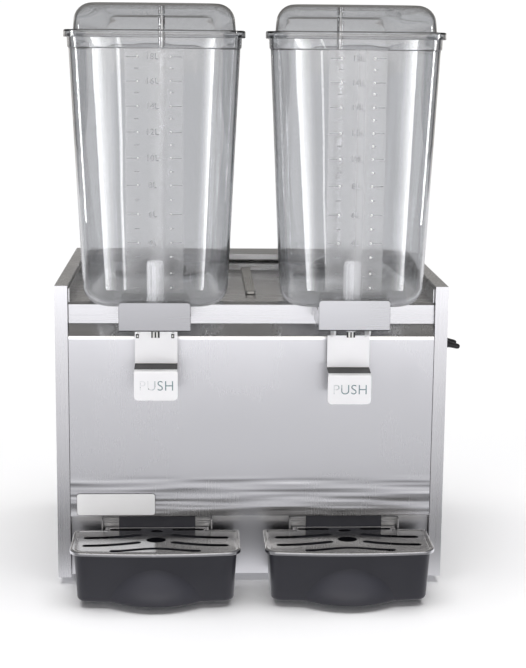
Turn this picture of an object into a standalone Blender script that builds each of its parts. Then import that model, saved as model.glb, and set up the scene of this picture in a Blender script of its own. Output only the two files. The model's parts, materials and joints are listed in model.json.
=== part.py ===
"""Twin-bowl cold drink dispenser.

Frame: metres, +Z up, floor at Z = 0, +X to the right, the front face looks along -Y.
The origin is the middle of the whole object's footprint, switches included.
The functions below work in millimetres and scale once, when a mesh is made: there, X = 0
is the middle of the cabinet and Y = 0 is the plane of its front flanges. The parent empty
ROOT then sets the whole object over the origin.
"""
import math

import bmesh
import bpy
from mathutils import Matrix, Vector

for _old in list(bpy.data.objects):
    bpy.data.objects.remove(_old, do_unlink=True)

# ---------------------------------------------------------------- dimensions
GAP = 0.3                 # clearance between touching pieces
FOOT_H = 8.0              # height of the feet
BASE_Z = FOOT_H + GAP     # lowest edge of the cabinet
SHEET = 1.2               # thickness of the steel sheet
CAB_W = 430.0             # width of the cabinet
CAB_D = 324.0             # depth of the cabinet
CAB_TOP = BASE_Z + 330.5  # top of the folded edges
EDGE_W = 14.0             # width of the folded edges
PANEL_X = CAB_W / 2 - EDGE_W - 0.5   # half width of what stands between the side panels

KICK_Y = 9.3              # kick panel, behind the flange plane
PANEL_BOTTOM = BASE_Z + 71.0
PANEL_BEND = BASE_Z + 274.0
LEDGE_TOP = BASE_Z + 288.0
BAND_Y = 7.0              # front band of the deck, behind the flange plane
DECK_Z = BASE_Z + 312.5   # upper face of the deck floor
DECK_STEP_Y = 253.5
DECK_STEP_Z = BASE_Z + 320.0
DECK_REAR_Y = 268.0
REAR_LEDGE_Y = 271.0

PITCH = 209.0             # distance between the two bowls
PUMP_Y = 178.0            # axis of cold plate, pump and spray tube
PLATE_R = 53.5            # cold plate
BOWL_Z = DECK_Z + 2.8     # underside of the bowl
BOWL_FLOOR = 3.0
BOWL_WALL = 2.6
BOWL_CORNER = 25.0        # plan radius of the bowl's corners
BOWL_BOW = 0.0011         # the front face is bowed: set back this much times x squared
BOWL_TAPER = 0.0006       # a bowl gets narrower to the rear, by this part per mm
BOWL_TOP = BASE_Z + 599.0
COLLAR_Z = BASE_Z + 585.5
LID_RIM_Z = BASE_Z + 595.3
LID_SHELF_Z = BASE_Z + 603.0
LID_TOP = BASE_Z + 630.5

TAP_Y = -39.0             # valve axis
PIN_Y = -60.0             # lever pin
PIN_Z = BASE_Z + 303.0
COVER_FRONT = -74.0
COVER_W = 75.0
COVER_Z0 = BASE_Z + 294.6
COVER_Z1 = BASE_Z + 324.4

LEVER_W = 46.0
LEVER_Y = -14.5
LEVER_TOP = BASE_Z + 283.2   # upper edge of the lever's plate
LEVER_LOW = BASE_Z + 247.2   # step between plate and pad
PAD_Y = -35.0
PAD_W = 47.0
PAD_Z0 = BASE_Z + 211.4
PAD_Z1 = BASE_Z + 244.6
RIGHT_COVER = (1.1, 2.9)     # the right cover's lower and upper edge sit this much higher
RIGHT_DROP = 4.2             # the right lever hangs this much lower

TRAY_Z0 = BASE_Z - 0.9
TRAY_Z1 = BASE_Z + 57.5
RIM_W = 183.0             # drip grille: width over its rim
RIM_FRONT = -91.0
RIM_REAR = -9.0
RIM_MID = (58.0, 1.6)     # the middle of the rear edge lies further back: half width, Y
BODY_W = 174.6            # tray under the rim
BODY_FRONT = -88.5
BODY_MID = (55.0, -0.9)
BODY_TOP = TRAY_Z1 - 3.0
BULGE_H = 39.3            # arched bulge low on the tray's front
BULGE_W = 49.0
BULGE_OUT = 0.00672       # reach = this times the square of the half width there
HOOK = (42.5, 2.1, 3.9)   # upstand of the tray: half width, front, rear

SWITCH_Y = (61.0, 85.0)
SWITCH_Z = BASE_Z + 256.0
SWITCH_TILT = math.radians(13.0)

FAN_X, FAN_Y, FAN_Z = 82.0, 243.0, 118.0

ORIGIN = (-12.4, -115.3, 0.0)   # from the cabinet's own zero to the middle of the footprint


# ---------------------------------------------------------------- materials
def material(name, colour, roughness, metallic=0.0, transmission=0.0):
    mat = bpy.data.materials.new(name)
    mat.use_nodes = True
    shader = mat.node_tree.nodes["Principled BSDF"]
    shader.inputs["Base Color"].default_value = (*colour, 1.0)
    shader.inputs["Roughness"].default_value = roughness
    shader.inputs["Metallic"].default_value = metallic
    shader.inputs["Transmission Weight"].default_value = transmission
    mat.diffuse_color = (*colour, 1.0)
    return mat


# ---------------------------------------------------------------- shapes (mm)
def box(bm, x0, x1, y0, y1, z0, z1):
    v = [bm.verts.new((x, y, z)) for x in (x0, x1) for y in (y0, y1) for z in (z0, z1)]
    for f in ((0, 1, 3, 2), (4, 6, 7, 5), (0, 4, 5, 1), (2, 3, 7, 6), (0, 2, 6, 4), (1, 5, 7, 3)):
        bm.faces.new([v[i] for i in f])
    return bm


def boxes(*dims):
    bm = bmesh.new()
    for d in dims:
        box(bm, *d)
    return bm


def loft(bm, rings, cap_start=True, cap_end=True):
    """Skin of quads through rings of equal length."""
    rows = [[bm.verts.new(p) for p in ring] for ring in rings]
    n = len(rows[0])
    for a, b in zip(rows, rows[1:]):
        for i in range(n):
            j = (i + 1) % n
            bm.faces.new((a[i], a[j], b[j], b[i]))
    if cap_start:
        bm.faces.new(list(reversed(rows[0])))
    if cap_end:
        bm.faces.new(rows[-1])
    return bm


def closed_loft(bm, rings):
    """Rings joined into a torus-like skin."""
    rows = [[bm.verts.new(p) for p in ring] for ring in rings]
    n, m = len(rows[0]), len(rows)
    for k in range(m):
        a, b = rows[k], rows[(k + 1) % m]
        for i in range(n):
            j = (i + 1) % n
            bm.faces.new((a[i], a[j], b[j], b[i]))
    return bm


def prism(outline, axis, a, b):
    """A 2-D outline pushed from a to b along an axis: x takes (y, z), y takes (x, z), z takes (x, y)."""
    put = {
        "x": lambda p, t: (t, p[0], p[1]),
        "y": lambda p, t: (p[0], t, p[1]),
        "z": lambda p, t: (p[0], p[1], t),
    }[axis]
    bm = bmesh.new()
    return loft(bm, [[put(p, a) for p in outline], [put(p, b) for p in outline]])


def arc(cx, cy, r, a0, a1, n):
    return [
        (cx + r * math.cos(math.radians(a0 + (a1 - a0) * i / n)), cy + r * math.sin(math.radians(a0 + (a1 - a0) * i / n)))
        for i in range(n + 1)
    ]


def rounded(x0, x1, y0, y1, r, n=4):
    """Rounded rectangle, counter-clockwise."""
    return (
        arc(x1 - r, y0 + r, r, -90, 0, n)
        + arc(x1 - r, y1 - r, r, 0, 90, n)
        + arc(x0 + r, y1 - r, r, 90, 180, n)
        + arc(x0 + r, y0 + r, r, 180, 270, n)
    )


def turned(profile, centre, axis="z", n=24, ring=False):
    """Turned solid from (radius, height) pairs; a ring profile is closed and off the axis."""
    cx, cy, cz = centre

    def spot(r, h, t):
        c, s = r * math.cos(t), r * math.sin(t)
        return {"z": (cx + c, cy + s, cz + h), "y": (cx + c, cy + h, cz + s), "x": (cx + h, cy + c, cz + s)}[axis]

    rings = [[spot(r, h, 2 * math.pi * i / n) for i in range(n)] for r, h in profile]
    bm = bmesh.new()
    return closed_loft(bm, rings) if ring else loft(bm, rings)


def pipe(points, radius, n=8, closed=False):
    """Round bar along a path."""
    pts = [Vector(p) for p in points]
    bm = bmesh.new()
    rings = []
    normal = None
    for i, p in enumerate(pts):
        a = pts[i - 1] if i else pts[i]
        b = pts[i + 1] if i + 1 < len(pts) else pts[i]
        t = (b - a).normalized()
        if normal is None:
            normal = t.orthogonal().normalized()
        else:
            normal = (normal - t * normal.dot(t)).normalized()
        side = t.cross(normal)
        rings.append([p + radius * (normal * math.cos(2 * math.pi * k / n) + side * math.sin(2 * math.pi * k / n)) for k in range(n)])
    return loft(bm, rings)


def fix(bm):
    bmesh.ops.remove_doubles(bm, verts=bm.verts, dist=1e-4)
    bmesh.ops.recalc_face_normals(bm, faces=bm.faces)
    return bm


def _temp(bm):
    mesh = bpy.data.meshes.new("temp")
    fix(bm).to_mesh(mesh)
    bm.free()
    obj = bpy.data.objects.new("temp", mesh)
    bpy.context.scene.collection.objects.link(obj)
    return obj


def boolean(base, tool, operation):
    """base and tool are used up; the exact solver joins or cuts them."""
    a, b = _temp(base), _temp(tool)
    mod = a.modifiers.new("cut", "BOOLEAN")
    mod.operation = operation
    mod.solver = "EXACT"
    mod.object = b
    bpy.context.view_layer.update()
    out = bmesh.new()
    evaluated = a.evaluated_get(bpy.context.evaluated_depsgraph_get())
    mesh = evaluated.to_mesh()
    out.from_mesh(mesh)
    evaluated.to_mesh_clear()
    for obj in (a, b):
        data = obj.data
        bpy.data.objects.remove(obj, do_unlink=True)
        bpy.data.meshes.remove(data)
    bmesh.ops.remove_doubles(out, verts=out.verts, dist=1e-4)
    bmesh.ops.dissolve_limit(out, angle_limit=math.radians(0.2), verts=out.verts, edges=out.edges)
    return out


def cut(base, *tools):
    for tool in tools:
        base = boolean(base, tool, "DIFFERENCE")
    return base


def join(base, *tools):
    for tool in tools:
        base = boolean(base, tool, "UNION")
    return base


def moved(bm, dx=0.0, dy=0.0, dz=0.0):
    bmesh.ops.translate(bm, verts=bm.verts, vec=(dx, dy, dz))
    return bm


def turn(bm, centre, angle, axis):
    bmesh.ops.rotate(bm, verts=bm.verts, cent=centre, matrix=Matrix.Rotation(angle, 3, axis))
    return bm


ROOT = bpy.data.objects.new("dispenser", None)
bpy.context.scene.collection.objects.link(ROOT)
ROOT.location = [c * 0.001 for c in ORIGIN]


def piece(name, bm, mat, origin=(0.0, 0.0, 0.0), smooth=True):
    """Makes the object of one piece, with its origin (mm) on its joint's axis."""
    bmesh.ops.translate(bm, verts=bm.verts, vec=[-c for c in origin])
    bmesh.ops.scale(bm, verts=bm.verts, vec=(0.001, 0.001, 0.001))
    bmesh.ops.triangulate(bm, faces=[f for f in bm.faces if len(f.verts) > 4])
    bmesh.ops.recalc_face_normals(bm, faces=bm.faces)
    mesh = bpy.data.meshes.new(name)
    bm.to_mesh(mesh)
    bm.free()
    obj = bpy.data.objects.new(name, mesh)
    bpy.context.scene.collection.objects.link(obj)
    obj.location = [c * 0.001 for c in origin]
    obj.parent = ROOT
    mesh.materials.append(mat)
    if smooth:
        mesh.shade_smooth()
        mesh.set_sharp_from_angle(angle=math.radians(35))
    return obj


# ---------------------------------------------------------------- cabinet
def side_panel(side):
    """Folded panel: outer wall, four 14 mm folds, and a lip along the front and the top fold."""
    w = CAB_W / 2
    top, low = CAB_TOP, BASE_Z
    inner = w - EDGE_W
    bm = boxes((inner, w, 0, CAB_D, low, top))
    hollow = boxes((inner + SHEET, w - SHEET, SHEET, CAB_D - SHEET, low + SHEET, top - SHEET))
    mouth = boxes((inner - 5, inner + SHEET + 1, 14, CAB_D - SHEET - 0.01, low + SHEET + 0.01, top - 13))
    bm = cut(bm, join(hollow, mouth))
    slots = []
    for row in range(6):
        z = 46 + row * 18
        for y in (176.0, 246.0):
            slots.append((w - 5, w + 5, y - 26, y + 26, z, z + 5))
    bm = cut(bm, boxes(*slots))
    if side > 0:
        for y in SWITCH_Y:
            bm = cut(bm, turned([(6.2, -6), (6.2, 6)], (w, y, SWITCH_Z), "x", 12))
    else:
        bmesh.ops.scale(bm, verts=bm.verts, vec=(-1, 1, 1))
        bmesh.ops.reverse_faces(bm, faces=bm.faces)
    return bm


def sheet_profile(points, thickness):
    """Outline of a bent sheet from its centre line in (y, z)."""
    left, right = [], []
    for i, p in enumerate(points):
        p = Vector(p)
        d0 = (p - Vector(points[i - 1])).normalized() if i else None
        d1 = (Vector(points[i + 1]) - p).normalized() if i + 1 < len(points) else None
        d0 = d0 or d1
        d1 = d1 or d0
        n0, n1 = Vector((-d0.y, d0.x)), Vector((-d1.y, d1.x))
        m = (n0 + n1).normalized()
        k = thickness / 2 / max(0.3, m.dot(n0))
        left.append(tuple(p + m * k))
        right.append(tuple(p - m * k))
    return left + right[::-1]


STEEL = material("brushed_steel_side", (0.55, 0.55, 0.56), 0.32, 1.0)
piece("side_panel_left", side_panel(-1), STEEL)
piece("side_panel_right", side_panel(1), material("brushed_steel_side_r", (0.55, 0.55, 0.56), 0.32, 1.0))

h = SHEET / 2
front = [(BAND_Y + h, LEDGE_TOP - GAP), (3.6, PANEL_BEND + 5.6), (1.2, PANEL_BEND + 1.2), (h, PANEL_BEND - 3),
         (h, PANEL_BOTTOM + h), (KICK_Y - 0.6, PANEL_BOTTOM + h)]
piece("front_panel", prism(sheet_profile(front, SHEET), "x", -PANEL_X, PANEL_X),
      material("brushed_steel_front", (0.6, 0.6, 0.62), 0.28, 1.0))

kick = boxes((-PANEL_X, PANEL_X, KICK_Y, KICK_Y + SHEET, BASE_Z + 0.8, PANEL_BOTTOM - GAP))
piece("kick_panel", kick, material("brushed_steel_kick", (0.42, 0.42, 0.44), 0.35, 1.0))

deck = [(BAND_Y + h, LEDGE_TOP + GAP), (BAND_Y + h, DECK_Z - 3.5), (BAND_Y + 1.6, DECK_Z - 1.6), (BAND_Y + 3.5, DECK_Z - h),
        (DECK_STEP_Y, DECK_Z - h), (DECK_STEP_Y + 2, DECK_STEP_Z - h), (DECK_REAR_Y, DECK_STEP_Z - h)]
deck_bm = prism(sheet_profile(deck, SHEET), "x", -PANEL_X, PANEL_X)
for s in (-1, 1):
    x0, x1 = sorted((s * PANEL_X, s * (PANEL_X - SHEET)))
    deck_bm = join(deck_bm, boxes((x0, x1, BAND_Y + 1, DECK_REAR_Y - 2, DECK_Z - SHEET + 0.2, CAB_TOP - 4)))
for s in (-1, 1):
    deck_bm = cut(deck_bm, turned([(24, -8), (24, 8)], (s * PITCH / 2, PUMP_Y, DECK_Z), "z", 20))
piece("deck_pan", deck_bm, material("brushed_steel_deck", (0.5, 0.5, 0.49), 0.3, 1.0))

rib = prism(rounded(-5.7, 5.7, 56, 250, 2.5, 2), "z", DECK_Z + GAP, DECK_Z + 4.2)
piece("deck_rib", rib, material("steel_rib", (0.6, 0.6, 0.6), 0.3, 1.0))

rear = [(CAB_D - h, BASE_Z + 1.0), (CAB_D - h, CAB_TOP - h), (REAR_LEDGE_Y + h, CAB_TOP - h), (REAR_LEDGE_Y + h, CAB_TOP - 7.5)]
rear_bm = prism(sheet_profile(rear, SHEET), "x", -PANEL_X, PANEL_X)
vents = []
for row in range(8):
    z = 44 + row * 18
    for x in (30, 134):
        vents.append((x - 46, x + 46, CAB_D - 5, CAB_D + 5, z, z + 6))
rear_bm = cut(rear_bm, boxes(*vents))
rear_bm = cut(rear_bm, turned([(7.6, -6), (7.6, 6)], (-150, CAB_D, 60), "y", 16))
piece("rear_panel", rear_bm, material("steel_rear", (0.52, 0.52, 0.53), 0.38, 1.0))

base_in = CAB_W / 2 - EDGE_W - 1.0
base = boxes((-base_in, base_in, KICK_Y + SHEET + GAP, CAB_D - SHEET - GAP - 0.5, BASE_Z + 1.6, BASE_Z + 3.2))
piece("base_plate", base, material("steel_base", (0.5, 0.5, 0.5), 0.45, 1.0))

RUBBER = (0.03, 0.03, 0.03)
for k, (x, y) in enumerate(((-184, 34), (184, 34), (-184, 296), (184, 296)), 1):
    foot = turned([(13, 0), (15, 1.4), (15, FOOT_H + 1.2)], (x, y, 0), "z", 16)
    piece(f"foot_{k}", foot, material(f"rubber_foot_{k}", RUBBER, 0.8))

plate = prism(rounded(-193.5, -106.5, PANEL_BOTTOM + 1.4, PANEL_BOTTOM + 26.4, 3.0, 3), "y", -GAP - 0.9, -GAP)
piece("badge_plate", plate, material("white_plate", (0.9, 0.9, 0.9), 0.35))

gland = turned([(4, 0.4), (10, 0.4), (10, 5.0), (7.5, 5.0), (4, 5.0)], (-150, CAB_D, 60), "y", 14, ring=True)
gland = join(gland, turned([(4, -12), (7.2, -12), (7.2, 1.5), (4, 1.5)], (-150, CAB_D, 60), "y", 14, ring=True))
piece("cable_gland", gland, material("black_gland", (0.03, 0.03, 0.03), 0.5))


# ---------------------------------------------------------------- bowls, lids
def bowl_half(z):
    """Half width of the bowl's outside."""
    return 77.6 + 0.0472 * (z - BASE_Z - 316)


def bowl_front(z):
    return -58.0 - 0.022 * (z - BASE_Z - 316)


def bowl_rear(z):
    return 250.0 + 0.155 * (z - BASE_Z - 316)


def bowl_plan(half, front, rear, radius, n=3, m=6):
    """Rounded plan, counter-clockwise, with the bowed front and the taper to the rear."""
    e = half - radius
    yc = front + BOWL_BOW * e * e
    pts = [(-e + 2 * e * i / m, front + BOWL_BOW * (-e + 2 * e * i / m) ** 2) for i in range(m)]
    lean = math.atan(2 * BOWL_BOW * e)                    # the front corners run on from the bow
    big = radius / (1 - math.sin(lean))
    ya, xa = yc + big * math.cos(lean), e - big * math.sin(lean)
    pts += arc(xa, ya, big, -90 + math.degrees(lean), 0, n)
    pts += arc(e, rear - radius, radius, 0, 90, n)
    pts += arc(-e, rear - radius, radius, 90, 180, n)
    pts += arc(-xa, ya, big, 180, 270 - math.degrees(lean), n)[:-1]
    return [(x * (1 - BOWL_TAPER * (y + 58.0)), y) for x, y in pts]


def bowl_ring(z, inset, radius, side=None):
    """side is the inset of the two side walls, where it isn't that of front and rear."""
    w = bowl_half(z) - (inset if side is None else side)
    return [(x, y, z) for x, y in bowl_plan(w, bowl_front(z) + inset, bowl_rear(z) - inset, radius)]


def bowl():
    r = BOWL_CORNER
    rings = []
    for a in (0, 30, 60, 90):                       # rounded lower edge
        t = math.radians(a)
        z = BOWL_Z + 20 * (1 - math.cos(t))
        rings.append(bowl_ring(z, 13 * (1 - math.sin(t)), r - 10 * (1 - math.sin(t)), side=21 * (1 - math.sin(t))))
    rings.append(bowl_ring(COLLAR_Z - 1.2, 0.0, r))
    rings.append(bowl_ring(COLLAR_Z, -1.2, r + 1.2))
    rings.append(bowl_ring(BOWL_TOP, -1.2, r + 1.2))
    rings.append(bowl_ring(BOWL_TOP, BOWL_WALL, r - BOWL_WALL))
    rings.append(bowl_ring(COLLAR_Z - 1.2, BOWL_WALL, r - BOWL_WALL))
    for a in (90, 60, 30, 0):
        t = math.radians(a)
        z = BOWL_Z + BOWL_FLOOR + 17 * (1 - math.cos(t))
        inset = BOWL_WALL + 10.4 * (1 - math.sin(t))
        rings.append(bowl_ring(z, inset, r - BOWL_WALL - 8 * (1 - math.sin(t)), side=BOWL_WALL + 18.4 * (1 - math.sin(t))))
    bm = bmesh.new()
    loft(bm, rings)
    bm = join(bm, turned([(12.5, -8.6), (12.5, 1.5)], (0, TAP_Y, BOWL_Z), "z", 16))
    bm = cut(bm, turned([(9.6, -20), (9.6, -0.1)], (0, TAP_Y, BOWL_Z), "z", 16))
    bm = cut(bm, turned([(7.6, -5), (7.6, 10)], (0, TAP_Y, BOWL_Z), "z", 16))
    bm = cut(bm, turned([(PLATE_R + 1.6, -5), (PLATE_R + 1.6, 10)], (0, PUMP_Y, BOWL_Z), "z", 28))
    return bm


def lid_ring(z, inset, radius):
    """inset is measured from the bowl's wall at its top."""
    top = BOWL_TOP
    plan = bowl_plan(bowl_half(top) - inset, bowl_front(top) + inset, bowl_rear(top) - inset, radius)
    return [(x, y, z) for x, y in plan]


def lid():
    out = 4.6                                       # skirt outside the bowl wall
    r = BOWL_CORNER
    rings = [
        lid_ring(LID_RIM_Z, -out, r + out),
        lid_ring(LID_SHELF_Z - 1.5, -out, r + out),
        lid_ring(LID_SHELF_Z, 1.5 - out, r + out - 1.5),
        lid_ring(LID_SHELF_Z, 5.0, r - 5),
    ]
    for a in (0, 30, 60, 90):
        t = math.radians(a)
        k = 6.4 + 19 * (1 - math.cos(t))
        rings.append(lid_ring(LID_TOP - 19 * (1 - math.sin(t)), k, r - 6.4 - 8 * (1 - math.cos(t))))
    for a in (90, 60, 30, 0):
        t = math.radians(a)
        k = 6.4 + 2.4 + 16.6 * (1 - math.cos(t))
        rings.append(lid_ring(LID_TOP - 2.4 - 16.6 * (1 - math.sin(t)), k, r - 8.8 - 7 * (1 - math.cos(t))))
    rings.append(lid_ring(LID_SHELF_Z - 2.2, 7.2, r - 7.2))
    rings.append(lid_ring(LID_SHELF_Z - 2.2, 2.4 - out, r + out - 2.4))
    rings.append(lid_ring(LID_RIM_Z, 2.4 - out, r + out - 2.4))
    bm = bmesh.new()
    rows = [[bm.verts.new(p) for p in ring] for ring in rings]
    n = len(rows[0])
    for k, a in enumerate(rows):
        b = rows[(k + 1) % len(rows)]
        if k == 7:                                  # the two flat tops are closed by faces
            bm.faces.new(a)
            bm.faces.new(list(reversed(b)))
            continue
        for i in range(n):
            j = (i + 1) % n
            bm.faces.new((a[i], a[j], b[j], b[i]))
    return bm


def cold_plate():
    bm = turned([(0.01, 0.3), (PLATE_R, 0.3), (PLATE_R, 9.5), (PLATE_R - 2, 11.5), (0.01, 12.5)], (0, PUMP_Y, DECK_Z), "z", 28)
    return cut(bm, turned([(25, 3.0), (25, 20)], (0, PUMP_Y, DECK_Z), "z", 20))


def seal():
    r = PLATE_R
    return turned([(r + 0.5, 0.3), (r + 8, 0.3), (r + 8, 2.5), (r + 0.5, 2.5)], (0, PUMP_Y, DECK_Z), "z", 28, ring=True)


# ---------------------------------------------------------------- pump
def impeller():
    base_z = DECK_Z + 3.4
    bm = turned([(5, 0), (20, 0), (20, 1.6), (5, 1.6)], (0, PUMP_Y, base_z), "z", 16)
    bm = join(bm, turned([(4.5, 0.5), (4.5, 8.4)], (0, PUMP_Y, base_z), "z", 10))
    for k in range(6):
        blade = boxes((3.0, 18.5, -0.8, 0.8, base_z + 1.0, base_z + 7.6))
        blade = turn(blade, (0, 0, 0), math.radians(60 * k + 7), "Z")
        bm = join(bm, moved(blade, 0, PUMP_Y, 0))
    return bm


def pump_cover():
    z = DECK_Z + 12.9
    bm = turned([(31, 0), (31, 2), (24, 9), (9, 15), (9, 24), (7.2, 24), (7.2, 14.2), (22.4, 7.4), (26, 2.4), (26, 0)],
                (0, PUMP_Y, z), "z", 18, ring=True)
    inlets = [turn(boxes((24, 36, -5, 5, z - 2, z + 1.3)), (0, 0, 0), math.radians(a), "Z") for a in (50, 170, 290)]
    return cut(bm, *[moved(i, 0, PUMP_Y, 0) for i in inlets])


def spray_tube():
    z0, z1 = DECK_Z + 30.0, BASE_Z + 626.2
    bm = turned([(2.8, z0), (4.0, z0), (4.0, z1), (2.8, z1)], (0, PUMP_Y, 0), "z", 12, ring=True)
    foot = turned([(2.8, z0 - 3), (6.8, z0 - 3), (6.8, z0 + 7), (2.8, z0 + 7)], (0, PUMP_Y, 0), "z", 12, ring=True)
    return join(bm, foot)


def pump_motor():
    z = DECK_Z - SHEET - GAP - 2.4
    bm = turned([(29, -44), (31, -42), (31, -2.6), (29, 0)], (0, PUMP_Y, z), "z", 18)
    bm = join(bm, turned([(22, -1), (22, 3.4)], (0, PUMP_Y, z), "z", 16))
    return join(bm, boxes((-40, 40, PUMP_Y - 9, PUMP_Y + 9, z - 6, z - 0.2)))


# ---------------------------------------------------------------- tap
def tap_cover(right):
    w = COVER_W / 2
    r = 3.4
    z0, z1 = (COVER_Z0 + RIGHT_COVER[0], COVER_Z1 + RIGHT_COVER[1]) if right else (COVER_Z0, COVER_Z1)
    outer = [(-w, z0), (w, z0)] + arc(w - r, z1 - r, r, 0, 90, 4) + arc(-w + r, z1 - r, r, 90, 180, 4)
    v = w - SHEET
    r2 = r - SHEET
    inner = [(-v, z0 - 5), (v, z0 - 5)] + arc(v - r2, z1 - SHEET - r2, r2, 0, 90, 4) + arc(-v + r2, z1 - SHEET - r2, r2, 90, 180, 4)
    bm = prism(outer, "y", COVER_FRONT, -6.0)
    bm = cut(bm, prism(inner, "y", COVER_FRONT + SHEET, 5.0))
    bm = cut(bm, boxes((-w - 5, w + 5, -61.5, 10, BOWL_Z - 0.8, COVER_Z1 + 5)))
    return cut(bm, turned([(1.9, -60), (1.9, 60)], (0, PIN_Y, PIN_Z), "x", 12))


def lever(drop):
    t = 0.75
    # plate, step and pad, as one bent strip seen from the side
    top, low, p0, p1 = LEVER_TOP - drop, LEVER_LOW - drop, PAD_Z0 - drop, PAD_Z1 - drop
    strip = [(LEVER_Y, top), (LEVER_Y, low + 1.5), (LEVER_Y - 1.5, low), (PAD_Y + 2.0, p1), (PAD_Y, p1 - 2.0), (PAD_Y, p0 + 5)]
    bm = prism(sheet_profile(strip, 2 * t), "x", -LEVER_W / 2, LEVER_W / 2)
    w = PAD_W / 2
    pad = [(-w, p1 - 2.5), (w, p1 - 2.5)] + arc(w - 4.5, p0 + 4.5, 4.5, 0, -90, 4) + arc(-w + 4.5, p0 + 4.5, 4.5, -90, -180, 4)
    bm = join(bm, prism(pad, "y", PAD_Y - t - 0.05, PAD_Y + t + 0.05))
    # two side arms run forward from the plate to the pin
    bar = [(LEVER_Y - 0.6, top - 7), (LEVER_Y + 0.6, top - 7), (LEVER_Y + 0.6, BASE_Z + 294.8), (-48, BASE_Z + 294.8),
           (PIN_Y + 3.3, PIN_Z + 1.5), (PIN_Y - 1.5, PIN_Z + 3.0), (PIN_Y - 3.6, PIN_Z), (PIN_Y - 2.4, PIN_Z - 3),
           (-52, BASE_Z + 290.2 - drop), (-24, top + 3), (LEVER_Y - 0.6, top - 1.5)]
    for x in (-19.7, 17.5):
        bm = join(bm, prism(bar, "x", x, x + 2.2))
    return cut(bm, turned([(1.9, -60), (1.9, 60)], (0, PIN_Y, PIN_Z), "x", 12))


def lever_pin():
    return turned([(1.5, -37.2), (1.5, 37.2)], (0, PIN_Y, PIN_Z), "x", 12)


LUG_Z = BASE_Z + 295.4


def piston():
    z = BOWL_Z + BOWL_FLOOR
    bm = turned([(5.4, LUG_Z + 0.5), (5.4, z + 0.8), (8.0, z + 0.8), (9.6, z + 2.2), (9.6, z + 3.6), (9.1, z + 4.4), (9.1, BASE_Z + 362.5), (7.6, BASE_Z + 364.0)],
                (0, TAP_Y, 0), "z", 16)
    bm = join(bm, turned([(9.0, LUG_Z), (9.0, LUG_Z + 2.6)], (0, TAP_Y, 0), "z", 16))
    bm = join(bm, boxes((-21, 21, TAP_Y - 3, TAP_Y + 3, LUG_Z + 0.3, LUG_Z + 2.5)))
    return cut(bm, turned([(3.2, LUG_Z - 5), (3.2, LUG_Z + 14)], (0, TAP_Y, 0), "z", 10))


def spout():
    z = LUG_Z - GAP
    return turned([(3.2, -7.2), (5.0, -7.2), (5.0, -1.6), (7.5, -1.6), (7.5, 0), (3.2, 0)], (0, TAP_Y, z), "z", 12, ring=True)


def spring():
    z0, z1 = LUG_Z + 3.6, BOWL_Z - 1.4
    turns, steps = 4.0, 36
    pts = []
    for i in range(steps + 1):
        t = i / steps
        a = 2 * math.pi * turns * t
        pts.append((7.4 * math.cos(a), TAP_Y + 7.4 * math.sin(a), z0 + (z1 - z0) * t))
    return pipe(pts, 0.75, 4)


# ---------------------------------------------------------------- drip trays
def tray_plan(half, front, rear, mid, corner, inset=0.0, reach=0.0, bulge=4.0, mid_part=1.0):
    """Plan of tray or grille, counter-clockwise: bowed front, and the rear edge's middle set back.
    reach and bulge are the depth and half width of the bulge at that height; mid_part is the
    share of the inset that the middle of the rear edge takes."""
    w, yr = half - inset, rear - inset
    xm, ym = mid[0] - inset, mid[1] - inset * mid_part
    r = max(2.0, corner - inset)
    e = w - r

    def front_y(x):
        return front + inset + 5.0 * (x / 80.0) ** 2 - reach * max(0.0, 1 - (x / bulge) ** 2)

    steps = [bulge * k / 3 for k in range(4)] + [bulge + (e - bulge) * k / 3 for k in (1, 2, 3)]
    xs = [-x for x in steps[:0:-1]] + steps
    pts = [(x, front_y(x)) for x in xs]
    yc = front_y(e) + r
    pts += arc(w - r, yc, r, -90, 0, 3)[1:]
    pts += arc(w - 4, yr - 4, 4, 0, 90, 2)
    pts += [(xm, yr), (xm, ym), (-xm, ym), (-xm, yr)]
    pts += arc(-w + 4, yr - 4, 4, 90, 180, 2)
    pts += arc(-w + r, yc, r, 180, 270, 3)[:-1]
    return pts


def rim_ring(z, inset):
    return [(x, y, z) for x, y in tray_plan(RIM_W / 2, RIM_FRONT, RIM_REAR, RIM_MID, 15.0, inset, mid_part=0.45)]


def body_ring(z, inset):
    down = (BODY_TOP - z) / (BODY_TOP - TRAY_Z0)
    t = min(1.0, max(0.0, (z - TRAY_Z0) / BULGE_H))
    half = BULGE_W * (1 - t ** 1.8) ** 0.6
    plan = tray_plan(BODY_W / 2 - 3.0 * down, BODY_FRONT + 6.5 * down, -11.8, BODY_MID, 13.0, inset,
                     BULGE_OUT * half * half, max(4.0, half))
    return [(x, y, z) for x, y in plan]


def tray():
    wall = 2.4
    floor = TRAY_Z0 + 2.6
    heights = (8, 14, 20, 26, 31, 35, 38, BULGE_H)
    rings = [body_ring(TRAY_Z0, 3.0), body_ring(TRAY_Z0 + 3.5, 0)]
    rings += [body_ring(TRAY_Z0 + h2, 0) for h2 in heights]
    rings += [body_ring(BODY_TOP, 0), body_ring(BODY_TOP, wall)]
    rings += [body_ring(TRAY_Z0 + h2, wall) for h2 in heights[::-1]]
    rings += [body_ring(floor, wall + 2.0)]
    bm = bmesh.new()
    loft(bm, rings)
    # upstand that hooks over the bracket, behind the grille's rim
    hx, hf, hr = HOOK
    hook = join(boxes((-hx, hx, hf, hr, TRAY_Z0 + 33, BASE_Z + 70.0)), boxes((-hx, hx, BODY_MID[1] - 1.6, hr - 0.4, TRAY_Z0 + 34, TRAY_Z0 + 50)))
    return join(bm, hook)


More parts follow.
